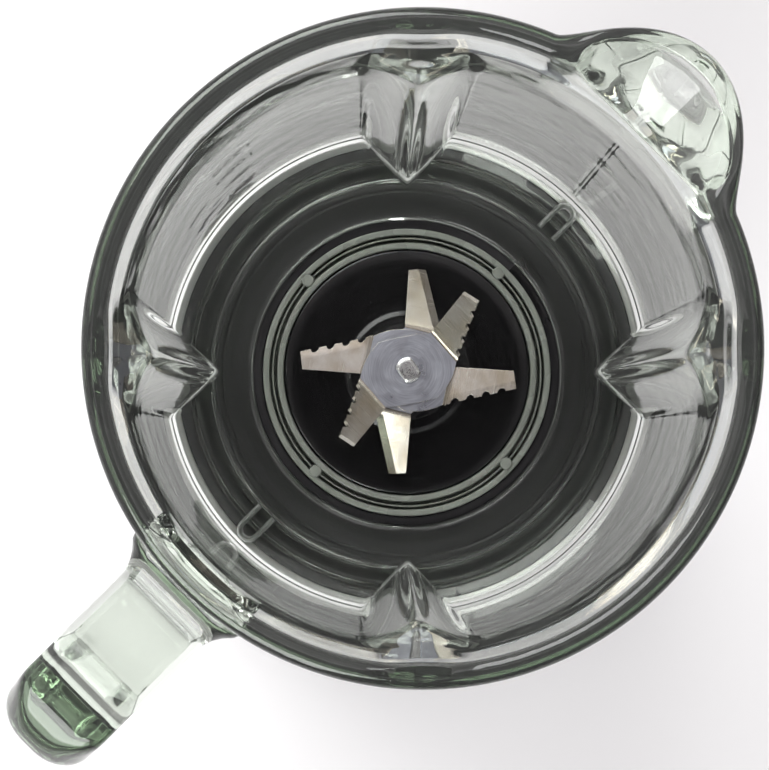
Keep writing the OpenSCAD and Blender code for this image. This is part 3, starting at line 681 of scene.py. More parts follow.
def handle_body():
    """The loop handle: a rounded bar between two outlines, flared at its roots."""
    counts = (34, 22, 44) if FINE else (16, 12, 14)
    outer = handle_loop(HANDLE_REACH, HANDLE_TOP_Z, HANDLE_FOOT_Z, 13.5, 26, counts)
    inner = handle_loop(HANDLE_REACH - 15, HANDLE_TOP_Z - 17, HANDLE_FOOT_Z + 17, 11, 15, counts)
    sides = 48 if FINE else 28
    verts = []
    for out, inn in zip(outer, inner):
        middle = (out + inn) / 2
        across = out - inn
        half = np.linalg.norm(across) / 2
        across = across / (2 * half)
        flare = 4.5 * max(0.0, 1 - max(middle[0] - WALL_X, 0) / 8.5) ** 2.2
        grip = float(smoothstep(middle[0], HANDLE_REACH - 20, HANDLE_REACH - 9))
        corner = 2.6 + 1.6 * grip
        nose = 2.6 + 7.6 * grip + flare * 0.4
        width = HANDLE_HALF_WIDTH + flare
        depth = half + flare * 0.9
        corners = [(width, depth, nose), (-width, depth, nose),
                   (-width, -depth, corner), (width, -depth, corner)]
        for y, d in even_loop(rounded(corners, step=0.5), sides):
            point = middle + across * d
            verts.append((point[0], y, point[1]))
    return np.array(verts), capped_faces(len(outer), sides)


def floor_lug(angle):
    """A U-shaped ridge on the glass floor, open towards the middle."""
    path = [(LUG_R - 8.4, LUG_HALF_GAP, 0), (LUG_R + 1.4, LUG_HALF_GAP, LUG_HALF_GAP),
            (LUG_R + 1.4, -LUG_HALF_GAP, LUG_HALF_GAP), (LUG_R - 8.4, -LUG_HALF_GAP, 0)]
    line = spaced(rounded(path, closed=False, step=0.4), 1.0, closed=False)
    verts = []
    sides = 14
    for i, here in enumerate(line):
        ahead = line[min(i + 1, len(line) - 1)] - line[max(i - 1, 0)]
        ahead = ahead / np.linalg.norm(ahead)
        side = np.array([-ahead[1], ahead[0]])
        for k in range(sides):
            a = 2 * math.pi * k / sides
            flat = here + side * LUG_BAR / 2 * math.cos(a)
            verts.append((flat[0], flat[1], FLOOR_Z - 0.35 + LUG_HEIGHT * math.sin(a)))
    turn = Matrix.Rotation(math.radians(angle), 3, "Z")
    return np.array([turn @ Vector(v) for v in verts]), capped_faces(len(line), sides)


def on_lug(x, y, z):
    """Whether a place on the jar is on one of the floor lugs."""
    if not (55 < abs(x) < 67.3 and FLOOR_Z + 0.25 < z < FLOOR_Z + 5):
        return False
    across = math.hypot(max(abs(x) - LUG_R + 1.3, 0), y)
    return abs(across - LUG_HALF_GAP) < LUG_BAR / 2 + 0.1


def glass_jar():
    """The jar as one closed glass mesh, with handle and lugs joined in."""
    body = make_object("glass_jar_shell", *jar_body(), GLASS)
    for made in (handle_body(), floor_lug(0), floor_lug(180)):
        combine(body, "UNION", made)
    # The lugs get whitish, half-clear glass as a painted highlight.
    repaint(body, frosted_material(), on_lug)
    smooth(body.data, 50)
    place(body, "jar", "jar_glass", "glass_jar")


# --------------------------------------------------------------- gasket, carrier and collar

FLANGE_TOP_Z = 178
SEAT_Z = 148  # the jar's collar stands on the base here
NUB_R = 38.1  # the gasket's nubs stand this far from the axis


def jar_gasket():
    """Sealing ring with raised ridges and four nubs, between the glass and the black disc."""
    top = RING_Z - 0.4
    groove = top - 8
    corners = [
        (DISC_R + 0.1, FLANGE_TOP_Z, 0.2), (DISC_R + 6.0, FLANGE_TOP_Z, 0.2),
        (DISC_R + 5.9, top - 0.5, 0.5), (DISC_R + 4.1, top - 0.5, 0.5),
        (DISC_R + 4.0, groove, 0.1), (DISC_R + 3.4, groove, 0.1),
        (DISC_R + 3.35, top - 1.0, 0.2), (DISC_R + 2.9, top - 1.0, 0.2),
        (DISC_R + 2.85, groove, 0.1), (DISC_R + 2.0, groove, 0.1),
        (DISC_R + 1.9, top, 0.5), (DISC_R + 0.1, top, 0.5)
    ]
    ring = clean_lathe("jar_gasket_ring", corners, GASKET, step=0.18, stretch=3)
    place(ring, "jar", "clear_gasket", "jar_gasket")
    nub_corners = [(0, top - 2.4, 0), (1.75, top - 2.4, 0), (1.75, top + 0.35, 0.5),
                   (0, top + 0.4, 0)]
    nub_verts, nub_faces = revolve(rounded(nub_corners, closed=False, step=0.15), 28)
    verts, faces = [], []
    for k in range(4):
        turn = math.radians(2.3 + 90 * k)
        faces += [tuple(i + len(verts) for i in face) for face in nub_faces]
        moved = np.array(nub_verts) + [NUB_R * math.cos(turn), NUB_R * math.sin(turn), 0]
        verts += [tuple(v) for v in moved]
    place(make_object("jar_gasket_nubs", verts, faces, GASKET), "jar", "clear_gasket")


def blade_carrier():
    """Black hub piece: flange under the glass floor, polished disc and a low boss."""
    disc_z = RING_Z - 0.9
    flange_z = FLOOR_UNDER_Z - 0.2
    corners = [
        (54.5, 171.2, 0.6), (54.5, flange_z, 1.2), (53.0, flange_z, 0.2),
        (52.4, flange_z - 0.5, 0.2), (51.8, flange_z, 0.2), (HOLE_R - 0.3, flange_z, 0.2),
        (HOLE_R - 0.3, 187.0, 0.4), (DISC_R + 6.2, 187.0, 0.4),
        (DISC_R + 6.2, FLANGE_TOP_Z, 0.1), (DISC_R, FLANGE_TOP_Z, 0.1), (DISC_R, disc_z, 0.9),
        (17.4, disc_z, 1.5), (16, disc_z + 0.5, 0.8), (13.6, 196.6, 3), (12, 198.2, 0.6),
        (8, 198.2, 0.3), (8, 186.2, 0), (6.5, 186.2, 0), (6.5, 177, 0), (8, 177, 0),
        (8, 166, 0.3), (13, 166, 0.8), (13, 188.5, 1.5), (DISC_R - 3, 188.5, 1.5),
        (DISC_R - 3, 171.2, 0.4)
    ]
    piece = clean_lathe("blade_carrier_turned", corners, BLACK_GLOSS, step=0.3)
    repaint(piece, BLACK_SATIN_PAINTED_SHEEN, lambda x, y, z: math.hypot(x, y) > DISC_R + 0.5)
    place(piece, "jar", "black_plastic", "blade_carrier")


def locking_collar():
    """Threaded collar round the jar's neck, with grip flutes on its wall."""
    wall, inner, trim_z = 69.0, 65.4, 179.4
    corners = [
        (wall, SEAT_Z + 0.3, 1.0), (wall, 152, 0.5), (wall - 0.5, 152.8, 0.3),
        (wall - 0.5, 176, 0.3), (wall, 176.8, 0.5), (wall, trim_z, 0.4), (inner, trim_z, 0.2),
        (65.3, 182.45, 0.2), (62.3, 181.6, 0.2), (61.9, 171.3, 0.3), (46, 171.1, 0.3),
        (46, 166, 0.6), (inner, 166, 1.0), (inner, SEAT_Z + 0.3, 0.5)
    ]
    piece = clean_lathe("locking_collar_turned", corners, BLACK_SATIN_PAINTED_SHEEN)
    flutes, flute_low, flute_high = 40, 153.2, 175.6
    for vertex in piece.data.vertices:
        x, y, z = vertex.co / MM
        r = math.hypot(x, y)
        if r > wall - 0.8 and flute_low < z < flute_high:
            depth = 0.75 * max(0.0, math.cos(math.atan2(y, x) * flutes)) ** 0.6
            depth *= float(rise_and_fall(z, flute_low, 155, 173.5, flute_high))
            vertex.co.x *= (r - depth) / r
            vertex.co.y *= (r - depth) / r
    place(piece, "jar", "black_plastic", "locking_collar")
    corners = [(wall, trim_z, 0.3), (wall, 183.5, 0.4), (inner, 182.5, 0.2), (inner, trim_z, 0.2)]
    place(clean_lathe("collar_trim", corners, TRIM_METAL, step=0.25), "jar", "trim_chrome")


# --------------------------------------------------------------- blades

BLADE_T = 1.5
STACK_Z = 203.0
SPACER_T = 0.4
HUB_A, HUB_B, HUB_C = (11.9, 2.0), (10.3, -8.7), (-0.4, -11.2)  # corners of the sheet's hub
HUB_R = 8.5  # the hub's polished middle
ARM_U = 10.8  # an arm's stations are counted from this distance to the axis
ARM_TIP_U = 30.4
GRIND_W = 2.3  # width of the ground edge
NOTCHES = (13.7, 17.9, 22.15, 26.4)
NOTCH_R = 1.1
BEND_LENGTH = 1.6  # the length of sheet that a bend takes up


def cutting_edge(u):
    """How far across the arm its cutting edge lies, at a distance u from the axis."""
    return -8.6 + (u - 10.6) * 6.1 / (ARM_TIP_U - 10.6)


def arm_rows(serrated):
    """Places along an arm: the root on the hub's edge, then stations out to the tip."""
    stations = [0.0, 0.04, 0.3, 0.6, 0.9, 1.2, 1.6, 2.1]
    u = 13.4
    while u < ARM_TIP_U - 0.3:
        stations.append(u - ARM_U)
        u += 0.55 if FINE else 1.4
    stations.append(ARM_TIP_U - ARM_U - 0.001)
    if serrated:
        for notch in NOTCHES:
            stations = [s for s in stations if abs(s + ARM_U - notch) > NOTCH_R + 0.05]
            stations += [notch - ARM_U + NOTCH_R * 1.02 * math.sin(math.radians(a))
                         for a in (-90, -82, -68, -50, -30, -10, 10, 30, 50, 68, 82, 90)]
    return sorted(stations)


def arm_section(s, serrated, ground):
    """Points across an arm at a distance s from the hub: (u, v, upper height) from edge to back."""
    root = max(0.0, 1 - s / 2.2)
    edge_u = (HUB_B[0] + s) * root + (ARM_U + s) * (1 - root)
    back_u = (HUB_A[0] + s * 0.4) * root + (ARM_U + s) * (1 - root)
    edge_v = HUB_B[1] * root + cutting_edge(ARM_U + s) * (1 - root)
    back_v = 2.0 + 0.3 * (ARM_U + s - 11) / 18
    cut = 0.0
    if serrated:
        for notch in NOTCHES:
            off = abs(ARM_U + s - notch)
            if off < NOTCH_R:
                cut = max(cut, math.sqrt(NOTCH_R**2 - off**2))
    tip = max(0.0, (ARM_U + s) - (ARM_TIP_U - 1.2))
    grind_v = edge_v + GRIND_W
    vs = [edge_v + o for o in (cut, cut + (GRIND_W - cut) * 0.5, GRIND_W, GRIND_W + 0.04)]
    vs += [grind_v + (back_v - grind_v) * f for f in (0.25, 0.5, 0.75, 1.0)]
    drop = ground * float(smoothstep(s, 0.4, 3.4))
    points = []
    for v in vs:
        f = (v - edge_v) / max(back_v - edge_v, 0.1)
        u = edge_u + (back_u - edge_u) * f - tip * 0.9 * f
        points.append((u, v, BLADE_T - drop * max(0.0, 1 - (v - edge_v) / GRIND_W)))
    return points


def bent(u, v, height, fold, bend):
    """A point of a flat arm after the arm is bent at the fold."""
    s = u - fold
    if s <= 0:
        return (u, v, height)
    radius = BEND_LENGTH / bend
    middle = height - BLADE_T / 2
    angle = bend * min(s / BEND_LENGTH, 1)
    along = radius * math.sin(angle) + max(0.0, s - BEND_LENGTH) * math.cos(bend)
    up = radius * (1 - math.cos(angle)) + max(0.0, s - BEND_LENGTH) * math.sin(bend)
    return (fold + along - middle * math.sin(angle), v,
            BLADE_T / 2 + up + middle * math.cos(angle))


def blade_arm(side, start, z, bend, serrated, ground):
    """One arm's vertices and faces; each station has its upper points, then its lower ones."""
    rows = arm_rows(serrated)
    verts, faces = [], []
    for s in rows:
        for low in (False, True):
            for u, v, high in arm_section(s, serrated, ground):
                slope = (HUB_A[0] - HUB_B[0]) * (v - HUB_B[1]) / (HUB_A[1] - HUB_B[1])
                fold = HUB_B[0] + slope + 0.05
                x, y, h = bent(u, v, 0.0 if low else high, fold, bend)
                verts.append((side * x, side * y, z + h))
    columns = len(verts) // len(rows) // 2
    last = columns - 1
    for i in range(len(rows) - 1):
        a = start + i * 2 * columns
        b = a + 2 * columns
        for j in range(last):
            faces.append((a + j, b + j, b + j + 1, a + j + 1))
            faces.append((a + columns + j, a + columns + j + 1, b + columns + j + 1,
                          b + columns + j))
        faces.append((a, a + columns, b + columns, b))
        faces.append((a + last, b + last, b + columns + last, a + columns + last))
    end = start + (len(rows) - 1) * 2 * columns
    faces.append(tuple(end + j for j in range(columns))
                 + tuple(end + columns + j for j in reversed(range(columns))))
    return verts, faces, columns


def hub_waist():
    """Points from one arm's root to the other's, along two slightly hollow edges."""
    path = [HUB_B, HUB_C, (-HUB_A[0], -HUB_A[1])]
    points = []
    for k, depth, count in ((0, 0.9, 6), (1, 0.35, 5)):
        (x0, y0), (x1, y1) = path[k], path[k + 1]
        length = math.hypot(x1 - x0, y1 - y0)
        for i in range(1, count + 1):
            f = i / 6
            hollow = depth * 4 * f * (1 - f)
            points.append((x0 + (x1 - x0) * f - hollow * (y1 - y0) / length,
                           y0 + (y1 - y0) * f + hollow * (x1 - x0) / length))
    return points


def blade_sheet(z, bend, serrated, ground):
    """Vertices and faces of a hub with two arms, cut from one sheet and bent."""
    verts, faces, roots, waists = [], [], [], []
    for side in (1, -1):
        start = len(verts)
        arm_verts, arm_faces, columns = blade_arm(side, start, z, bend, serrated, ground)
        verts += arm_verts
        faces += arm_faces
        roots.append(start)
    waist = hub_waist()
    size = len(waist)
    for side in (1, -1):
        waists.append(len(verts))
        for height in (BLADE_T, 0):
            verts += [(side * x, side * y, z + height) for x, y in waist]
    for low in (False, True):
        loop = []
        for start, arc in zip(roots, waists):
            loop += [start + (columns if low else 0) + j for j in reversed(range(columns))]
            loop += [arc + (size if low else 0) + i for i in range(size)]
        faces.append(tuple(loop if low else reversed(loop)))
    for start, other, arc in ((*roots, waists[0]), (*reversed(roots), waists[1])):
        upper = [start, *range(arc, arc + size), other + columns - 1]
        lower = [start + columns, *range(arc + size, arc + 2 * size), other + 2 * columns - 1]
        for i in range(size + 1):
            faces.append((upper[i], upper[i + 1], lower[i + 1], lower[i]))
    return verts, faces


def blade_plate(name, z, turn, bend, serrated, ground, material):
    """One plate of the stack, turned to its place, its edges broken."""
    sheet = blade_sheet(z, math.radians(bend), serrated, ground)
    piece = make_object(name, *sheet, material)
    work = bmesh.new()
    work.from_mesh(piece.data)
    bmesh.ops.rotate(work, cent=(0, 0, 0), verts=work.verts,
                     matrix=Matrix.Rotation(math.radians(turn), 3, "Z"))
    bmesh.ops.remove_doubles(work, verts=work.verts, dist=0.00002)
    work.to_mesh(piece.data)
    work.free()
    add_modifier_and_apply(piece, "BEVEL", width=0.0001, segments=2, limit_method="ANGLE",
                           angle_limit=math.radians(50))
    smooth(piece.data, 12)
    return piece


def blades():
    """Three plates, each with a turn, a bend, notches or none, a ground edge and a tone, which is
    painted light on the middle plate and painted shade on the lower and upper plates.
    """
    # The last number is a plate's tone: painted light on the middle plate, painted shade on the
    # lower and upper plates.
    plates = (
        ("lower_blade", 219.5, -22, False, 1.0, 0.62),
        ("middle_blade", 310, 6, True, 0.12, 1.25),
        ("upper_blade", 4.4, 40, True, 0.2, 0.75)
    )
    hub_finish = hub_material()
    for level, (node_name, turn, bend, serrated, ground, tone) in enumerate(plates):
        z = STACK_Z + level * (BLADE_T + SPACER_T)
        steel = blade_material("steel_" + node_name, turn, tone)
        piece = blade_plate(node_name + "_ground", z, turn, bend, serrated, ground, steel)
        repaint(piece, hub_finish, lambda x, y, z: math.hypot(x, y) < HUB_R)
        place(piece, "blade", "blade_steel", node_name)


def rivet_head(head_z):
    """The shaft's riveted end, round with two flats: its vertices and faces."""
    verts = []
    count = 48
    layers = [(-1.0, 1.0), (1.0, 1.0), (1.35, 0.95), (1.55, 0.84), (1.6, 0.6)]
    turn = math.radians(80)
    head_r, flat = 3.6, 2.6
    for height, scale in layers:
        for k in range(count):
            a = 2 * math.pi * k / count
            x = head_r * math.cos(a)
            y = float(np.clip(head_r * math.sin(a), -flat, flat))
            verts.append((scale * (x * math.cos(turn) - y * math.sin(turn)),
                          scale * (x * math.sin(turn) + y * math.cos(turn)), head_z + height))
    return verts, capped_faces(len(layers), count, flip=True)


def blade_shaft():
    """The shaft with its riveted head and the washer under the stack."""
    material = spun_material("turned_steel", (0.66, 0.66, 0.65), (2600, 1, 1200), 0.28)
    head_z = STACK_Z + 3 * BLADE_T + 2 * SPACER_T
    washer_z = STACK_Z - 4.5
    head = make_object("shaft_rivet_head", *rivet_head(head_z), material, sharp=30)
    place(head, "blade", "shaft_steel")
    corners = [(0, 158.8, 0), (3.6, 158.8, 0.3), (4, 159.2, 0.2), (4, 164.4, 0.1),
               (3.3, 164.4, 0.1), (3.3, 165.4, 0.1), (4, 165.4, 0.1), (4, STACK_Z, 0.1),
               (3.2, STACK_Z, 0.1), (3.2, head_z - 0.2, 0), (0, head_z - 0.2, 0)]
    profile = rounded(corners, closed=False, step=0.3)
    shaft = make_object("blade_shaft_turned", *revolve(profile, 48), material)
    place(shaft, "blade", "shaft_steel", "blade_shaft")
    corners = [(11.5, washer_z, 0.3), (11.5, washer_z + 1.5, 0.4), (8, washer_z + 1.5, 0.3),
               (8, STACK_Z, 0.2), (4.0, STACK_Z, 0.1), (4.0, washer_z, 0.1)]
    washer = clean_lathe("thrust_washer_turned", corners, material, step=0.2, count=96)
    place(washer, "blade", "shaft_steel", "thrust_washer")


# --------------------------------------------------------------- base

SKIN_LOW_Z, SKIN_HIGH_Z = 24.0, 140.0
SKIN_LOW_R, SKIN_HIGH_R = 88.0, 70.5
FRONT_TILT = math.atan((SKIN_LOW_R - SKIN_HIGH_R) / (SKIN_HIGH_Z - SKIN_LOW_Z))
GLAND_Z = 16
PANEL_Z = 76.0
PANEL_Y = SKIN_HIGH_R + (SKIN_HIGH_Z - PANEL_Z) * math.tan(FRONT_TILT) + 2.6
PANEL_W, PANEL_H, PANEL_DEPTH = 58.0, 74.0, 15.0
PANEL_T = 3.0
KNOB_V = -14.0  # u runs to the right and v up the slope, both from the panel's middle
BUTTON_U, BUTTON_V, BUTTON_W, BUTTON_H = 15.0, 23.0, 18.0, 11.0


def on_front(u, v, w):
    """A place on the tilted front: u to the right, v up the slope and w outward."""
    s, c = math.sin(FRONT_TILT), math.cos(FRONT_TILT)
    return (u, -PANEL_Y + v * s - w * c, PANEL_Z + v * c + w * s)


def rounded_plate(layers, width, height, corner, u=0.0, v=0.0):
    """A rounded rectangle swept through layers (inset, w) on the tilted front."""
    verts = []
    steps = 9
    for inset, w in layers:
        half_w, half_h = width / 2 - inset, height / 2 - inset
        radius = max(corner - inset, 0.3)
        for cx, cy, start in ((1, 1, 0), (-1, 1, 90), (-1, -1, 180), (1, -1, 270)):
            for k in range(steps):
                a = math.radians(start + k * 90 / (steps - 1))
                x = cx * (half_w - radius) + radius * math.cos(a)
                y = cy * (half_h - radius) + radius * math.sin(a)
                verts.append(on_front(u + x, v + y, w))
    return verts, capped_faces(len(layers), 4 * steps, flip=True)


def front_lathe(name, corners, material, v, closed=True, u=0.0, count=None):
    """A turned piece whose axis stands on the tilted front."""
    profile = rounded(corners, closed=closed, step=0.3)
    verts, faces = revolve(profile, count or (144 if FINE else 64))
    return make_object(name, [on_front(u + x, v + y, w) for x, y, w in verts], faces, material)


def housing():
    """Brushed stainless cone with rolled edges and an opening for the panel."""
    thick = 1.5
    corners = [
        (SKIN_LOW_R, SKIN_LOW_Z, 0.5), (SKIN_HIGH_R, SKIN_HIGH_Z, 0.7),
        (SKIN_HIGH_R - thick, SKIN_HIGH_Z, 0.5), (SKIN_LOW_R - thick, SKIN_LOW_Z, 0.5)
    ]
    skin = clean_lathe("housing_skin", corners, HOUSING_STEEL, step=0.25, stretch=6)
    opening = rounded_plate([(-0.3, -PANEL_DEPTH), (-0.3, 6)], PANEL_W, PANEL_H, 8)
    combine(skin, "DIFFERENCE", opening)
    smooth(skin.data, 30)
    place(skin, "base", "housing_steel", "housing")


def top_deck():
    """Black deck with the raised seat and the well round the coupling, and its soft pad."""
    rim_z = SEAT_Z - 2.2
    under_z = SKIN_HIGH_Z - 0.1
    corners = [
        (SKIN_HIGH_R, SKIN_HIGH_Z, 0.4), (SKIN_HIGH_R, 145.0, 1.2),
        (SKIN_HIGH_R - 0.9, 146.6, 1.0), (SKIN_HIGH_R - 1.2, rim_z, 0.1), (64.7, rim_z, 0.1),
        (64.7, 157.2, 0.8), (64.2, 158, 0.6), (60, 158, 0.8), (60, 144, 1.5), (24.5, 144, 1.0),
        (24.5, 146.0, 0.8), (21, 146.0, 0.8), (21, under_z, 0.3), (65, under_z, 0.2),
        (65, 134, 0.3), (68.6, 134, 0.3), (68.6, SKIN_HIGH_Z, 0.1)
    ]
    deck = clean_lathe("top_deck_moulded", corners, BLACK_GLOSS, step=0.4)
    place(deck, "base", "black_plastic", "top_deck")
    corners = [
        (69.3, rim_z, 0.2), (69.3, SEAT_Z - 0.4, 0.4), (68.4, SEAT_Z, 0.6), (67.4, SEAT_Z, 0.2),
        (67.0, SEAT_Z - 0.5, 0.3), (66.6, SEAT_Z, 0.2), (65.4, SEAT_Z, 0.6),
        (64.75, SEAT_Z - 0.5, 0.3), (64.75, rim_z, 0.2)
    ]
    pad = clean_lathe("seat_pad_moulded", corners, RUBBER, step=0.2)
    place(pad, "base", "black_rubber", "seat_pad")


def skirt():
    """Matte black foot moulding, bored at the back for the cord gland."""
    low, high = 6.0, 24.0
    corners = [
        (88.6, low, 1.2), (88.95, low + 2.2, 0.8), (88.3, 19.5, 0.6), (87.2, 20.1, 0.4),
        (87.2, 21.4, 0.4), (88.0, 21.9, 0.5), (87.9, high, 0.6), (85, high, 0.6), (85, low, 0.6)
    ]
    piece = clean_lathe("skirt_moulded", corners, BASE_MATTE, step=0.3)
    sides, bore_r = 64, 7.0
    bore = []
    for y in (76.0, 96.0):
        for j in range(sides):
            a = 2 * math.pi * j / sides
            bore.append((bore_r * math.cos(a), y, GLAND_Z + bore_r * math.sin(a)))
    combine(piece, "DIFFERENCE", (bore, capped_faces(2, sides)))
    smooth(piece.data, 35)
    place(piece, "base", "base_plastic", "skirt")


def cord_gland():
    """Ribbed strain relief with the cord's bore through it."""
    corners = [(3.6, 78, 0.2), (3.6, 98, 0.6), (5.0, 98, 0.7)]
    for k in range(3):
        y = 96.6 - k * 2.6
        wide = 6.5 + k * 0.45
        corners += [(wide, y, 0.3), (wide, y - 1.4, 0.3), (wide - 0.9, y - 1.7, 0.2),
                    (wide - 0.9, y - 2.3, 0.2)]
    corners += [(8.3, 89.0, 0.4), (8.3, 88.2, 0.2), (6.9, 88.2, 0.2), (6.9, 78, 0.3)]
    verts, faces = revolve(rounded(corners, step=0.25), 96 if FINE else 48)
    verts = [(x, z, GLAND_Z + y) for x, y, z in verts]
    gland = make_object("cord_gland_moulded", verts, faces, RUBBER)
    place(gland, "base", "black_rubber", "cord_gland")


def control_panel():
    """Gloss panel, hollow behind, with an opening for each button."""
    depth = PANEL_DEPTH
    layers = [(0, -depth), (0, -1.0), (0.3, -0.3), (0.9, 0), (1.6, 0), (2.0, -0.35), (2.6, -0.4)]
    panel = make_object("control_panel_moulded", *rounded_plate(layers, PANEL_W, PANEL_H, 8),
                        BLACK_GLOSS)
    cuts = [rounded_plate([(0, -depth - 1), (0, -PANEL_T)], PANEL_W - 5, PANEL_H - 5, 5.5)]
    for side in (-1, 1):
        cuts.append(rounded_plate([(-0.3, -PANEL_T - 1), (-0.3, 2)], BUTTON_W, BUTTON_H, 3.3,
                                  side * BUTTON_U, BUTTON_V))
    for cut in cuts:
        combine(panel, "DIFFERENCE", cut)
    smooth(panel.data, 30)
    place(panel, "base", "black_plastic", "control_panel")
    corners = [(22, -0.4, 0.1), (22, 1.3, 0.8), (21.2, 2.2, 0.6), (20.0, 2.3, 0.4),
               (18.4, 1.2, 0.5), (18.0, 0.6, 0.3), (18.0, -0.4, 0.1)]
    bezel = front_lathe("knob_bezel_turned", corners, CHROME, KNOB_V)
    place(bezel, "base", "trim_chrome", "knob_bezel")


def speed_knob():
    """Fluted knob with a dished top and a white pointer."""
    top = 14.0
    corners = [(0, 0.3, 0), (16.6, 0.3, 0.3), (17.0, 0.8, 0.3), (17.0, 4.6, 1.0),
               (15.4, 5.6, 0.8), (14.3, top - 0.6, 1.2), (13.0, top + 0.25, 1.0),
               (11.6, top - 0.25, 1.5), (0, top - 0.45, 0)]
    profile = spaced(rounded(corners, closed=False, step=0.35), 1.2, closed=False)
    verts, faces = revolve(profile, 288 if FINE else 120)
    flutes = 24
    shaped = []
    for x, y, w in verts:
        r = math.hypot(x, y)
        if 5.8 < w < top - 0.4 and r > 12.8:
            groove = 0.5 - 0.5 * math.cos(flutes * math.atan2(y, x))
            ends = float(rise_and_fall(w, 5.8, 6.8, top - 1.6, top - 0.5))
            shrink = 1 - 0.75 * groove * ends / r
            x, y = x * shrink, y * shrink
        shaped.append(on_front(x, KNOB_V + y, w))
    knob = make_object("speed_knob_moulded", shaped, faces, KNOB_BLACK)
    place(knob, "knob", "knob_black", "speed_knob")
    layers = [(0, top - 0.9), (0, top - 0.18), (0.15, top - 0.1)]
    line = rounded_plate(layers, 1.7, 8.5, 0.8, 0, KNOB_V + 6.6)
    place(make_object("knob_pointer", *line, PRINT_WHITE), "knob", "knob_black")


def push_buttons():
    """Two dished chrome caps, each on a stem through the panel."""
    layers = [(0, -PANEL_T + 0.4), (0, 1.2), (0.35, 1.9), (1.0, 2.25), (1.8, 2.2), (3.2, 2.0),
              (4.6, 1.92)]
    corners = [(0, -7.9, 0), (2, -7.9, 0.3), (2, -PANEL_T + 0.6, 0), (0, -PANEL_T + 0.6, 0)]
    for side, node_name, body in ((-1, "power_button", "power"), (1, "pulse_button", "pulse")):
        shape = rounded_plate(layers, BUTTON_W, BUTTON_H, 3, side * BUTTON_U, BUTTON_V)
        cap = make_object(node_name + "_cap", *shape, CHROME, sharp=40)
        place(cap, body, "trim_chrome", node_name)
        stem = front_lathe(node_name + "_stem", corners, CHROME, BUTTON_V, closed=False,
                           u=side * BUTTON_U, count=32)
        place(stem, body, "trim_chrome")


def printed_bar(u0, v0, u1, v1, width, start):
    """A thin raised bar on the panel: its vertices, and its faces counted from start."""
    along = np.array([u1 - u0, v1 - v0])
    along /= np.linalg.norm(along)
    side = np.array([-along[1], along[0]]) * width / 2
    verts = []
    for w in (-0.46, -0.30):
        for u, v, sign in ((u0, v0, 1), (u1, v1, 1), (u1, v1, -1), (u0, v0, -1)):
            verts.append(on_front(u + side[0] * sign, v + side[1] * sign, w))
    faces = [(3, 2, 1, 0), (4, 5, 6, 7)]
    for k in range(4):
        n = (k + 1) % 4
        faces.append((k, n, 4 + n, 4 + k))
    return verts, [tuple(start + i for i in face) for face in faces]


def front_marks():
    """Printed dial: ticks round the knob with plain numbers, and plain shapes by the buttons."""
    bars = []
    ticks, first_angle, sweep = 11, 225, 270
    for k in range(ticks):
        a = math.radians(first_angle - sweep * k / (ticks - 1))
        inner, outer = 22.6, 24.2 if k % 2 else 25.2
        bars.append((inner * math.cos(a), KNOB_V + inner * math.sin(a),
                     outer * math.cos(a), KNOB_V + outer * math.sin(a), 0.5))
    mark_v = BUTTON_V - 8.2
    bars.append((-BUTTON_U - 2.2, mark_v, -BUTTON_U + 2.2, mark_v, 0.6))
    for k in (-1, 0, 1):
        bars.append((BUTTON_U + k * 2 - 0.5, mark_v, BUTTON_U + k * 2 + 0.5, mark_v, 0.6))
    verts, faces = [], []
    for bar in bars:
        bar_verts, bar_faces = printed_bar(*bar, len(verts))
        verts += bar_verts
        faces += bar_faces
    marks = make_object("dial_marks", verts, faces, PRINT_WHITE, sharp=20)
    place(marks, "base", "black_plastic")
    for number in range(1, 5):
        a = math.radians(first_angle - sweep * number / 5)
        radius = 26.4
        across, up = radius * math.cos(a), KNOB_V + radius * math.sin(a) * 0.985

        def on_panel(x, y, height, across=across, up=up):
            return on_front(across + x, up + y, height - 0.46)

        number_piece(f"dial_number_{number}", str(number), 2.6, on_panel, "base",
                     "black_plastic")


def number_piece(name, text, size, where, body, slot_name):
    """A raised number laid on a surface by where(x, y, height)."""
    depth = 0.08
    curve = bpy.data.curves.new(name, "FONT")
    curve.body = text
    curve.size = size * MM
    curve.align_x = "CENTER"
    curve.align_y = "CENTER"
    curve.extrude = depth * MM
    holder = add_object(name + "_curve", curve)
    graph = bpy.context.evaluated_depsgraph_get()
    mesh = bpy.data.meshes.new_from_object(holder.evaluated_get(graph))
    bpy.data.objects.remove(holder)
    for vertex in mesh.vertices:
        x, y, z = vertex.co / MM
        vertex.co = Vector(where(x, y, depth + z)) * MM
    mesh.materials.clear()
    mesh.materials.append(PRINT_WHITE)
    place(add_object(name, mesh), body, slot_name)


def graduations():
    """Amounts printed on the outside of the jar, on the controls' side."""
    amounts = ((250, 196), (500, 215), (750, 237), (1000, 257), (1250, 276), (1500, 306))
    for amount, level in amounts:
        def on_wall(x, y, height, level=level):
            z = level + y
            r = 72.2 + 1.7 * (z - FLOOR_Z - 4) / (RIM_Z - 20 - FLOOR_Z - 4) + 0.25 + height
            turn = math.radians(267) + x / r
            return r * math.cos(turn), r * math.sin(turn), z

        number_piece(f"jar_amount_{amount}", str(amount), 7.5, on_wall, "jar", "jar_glass")


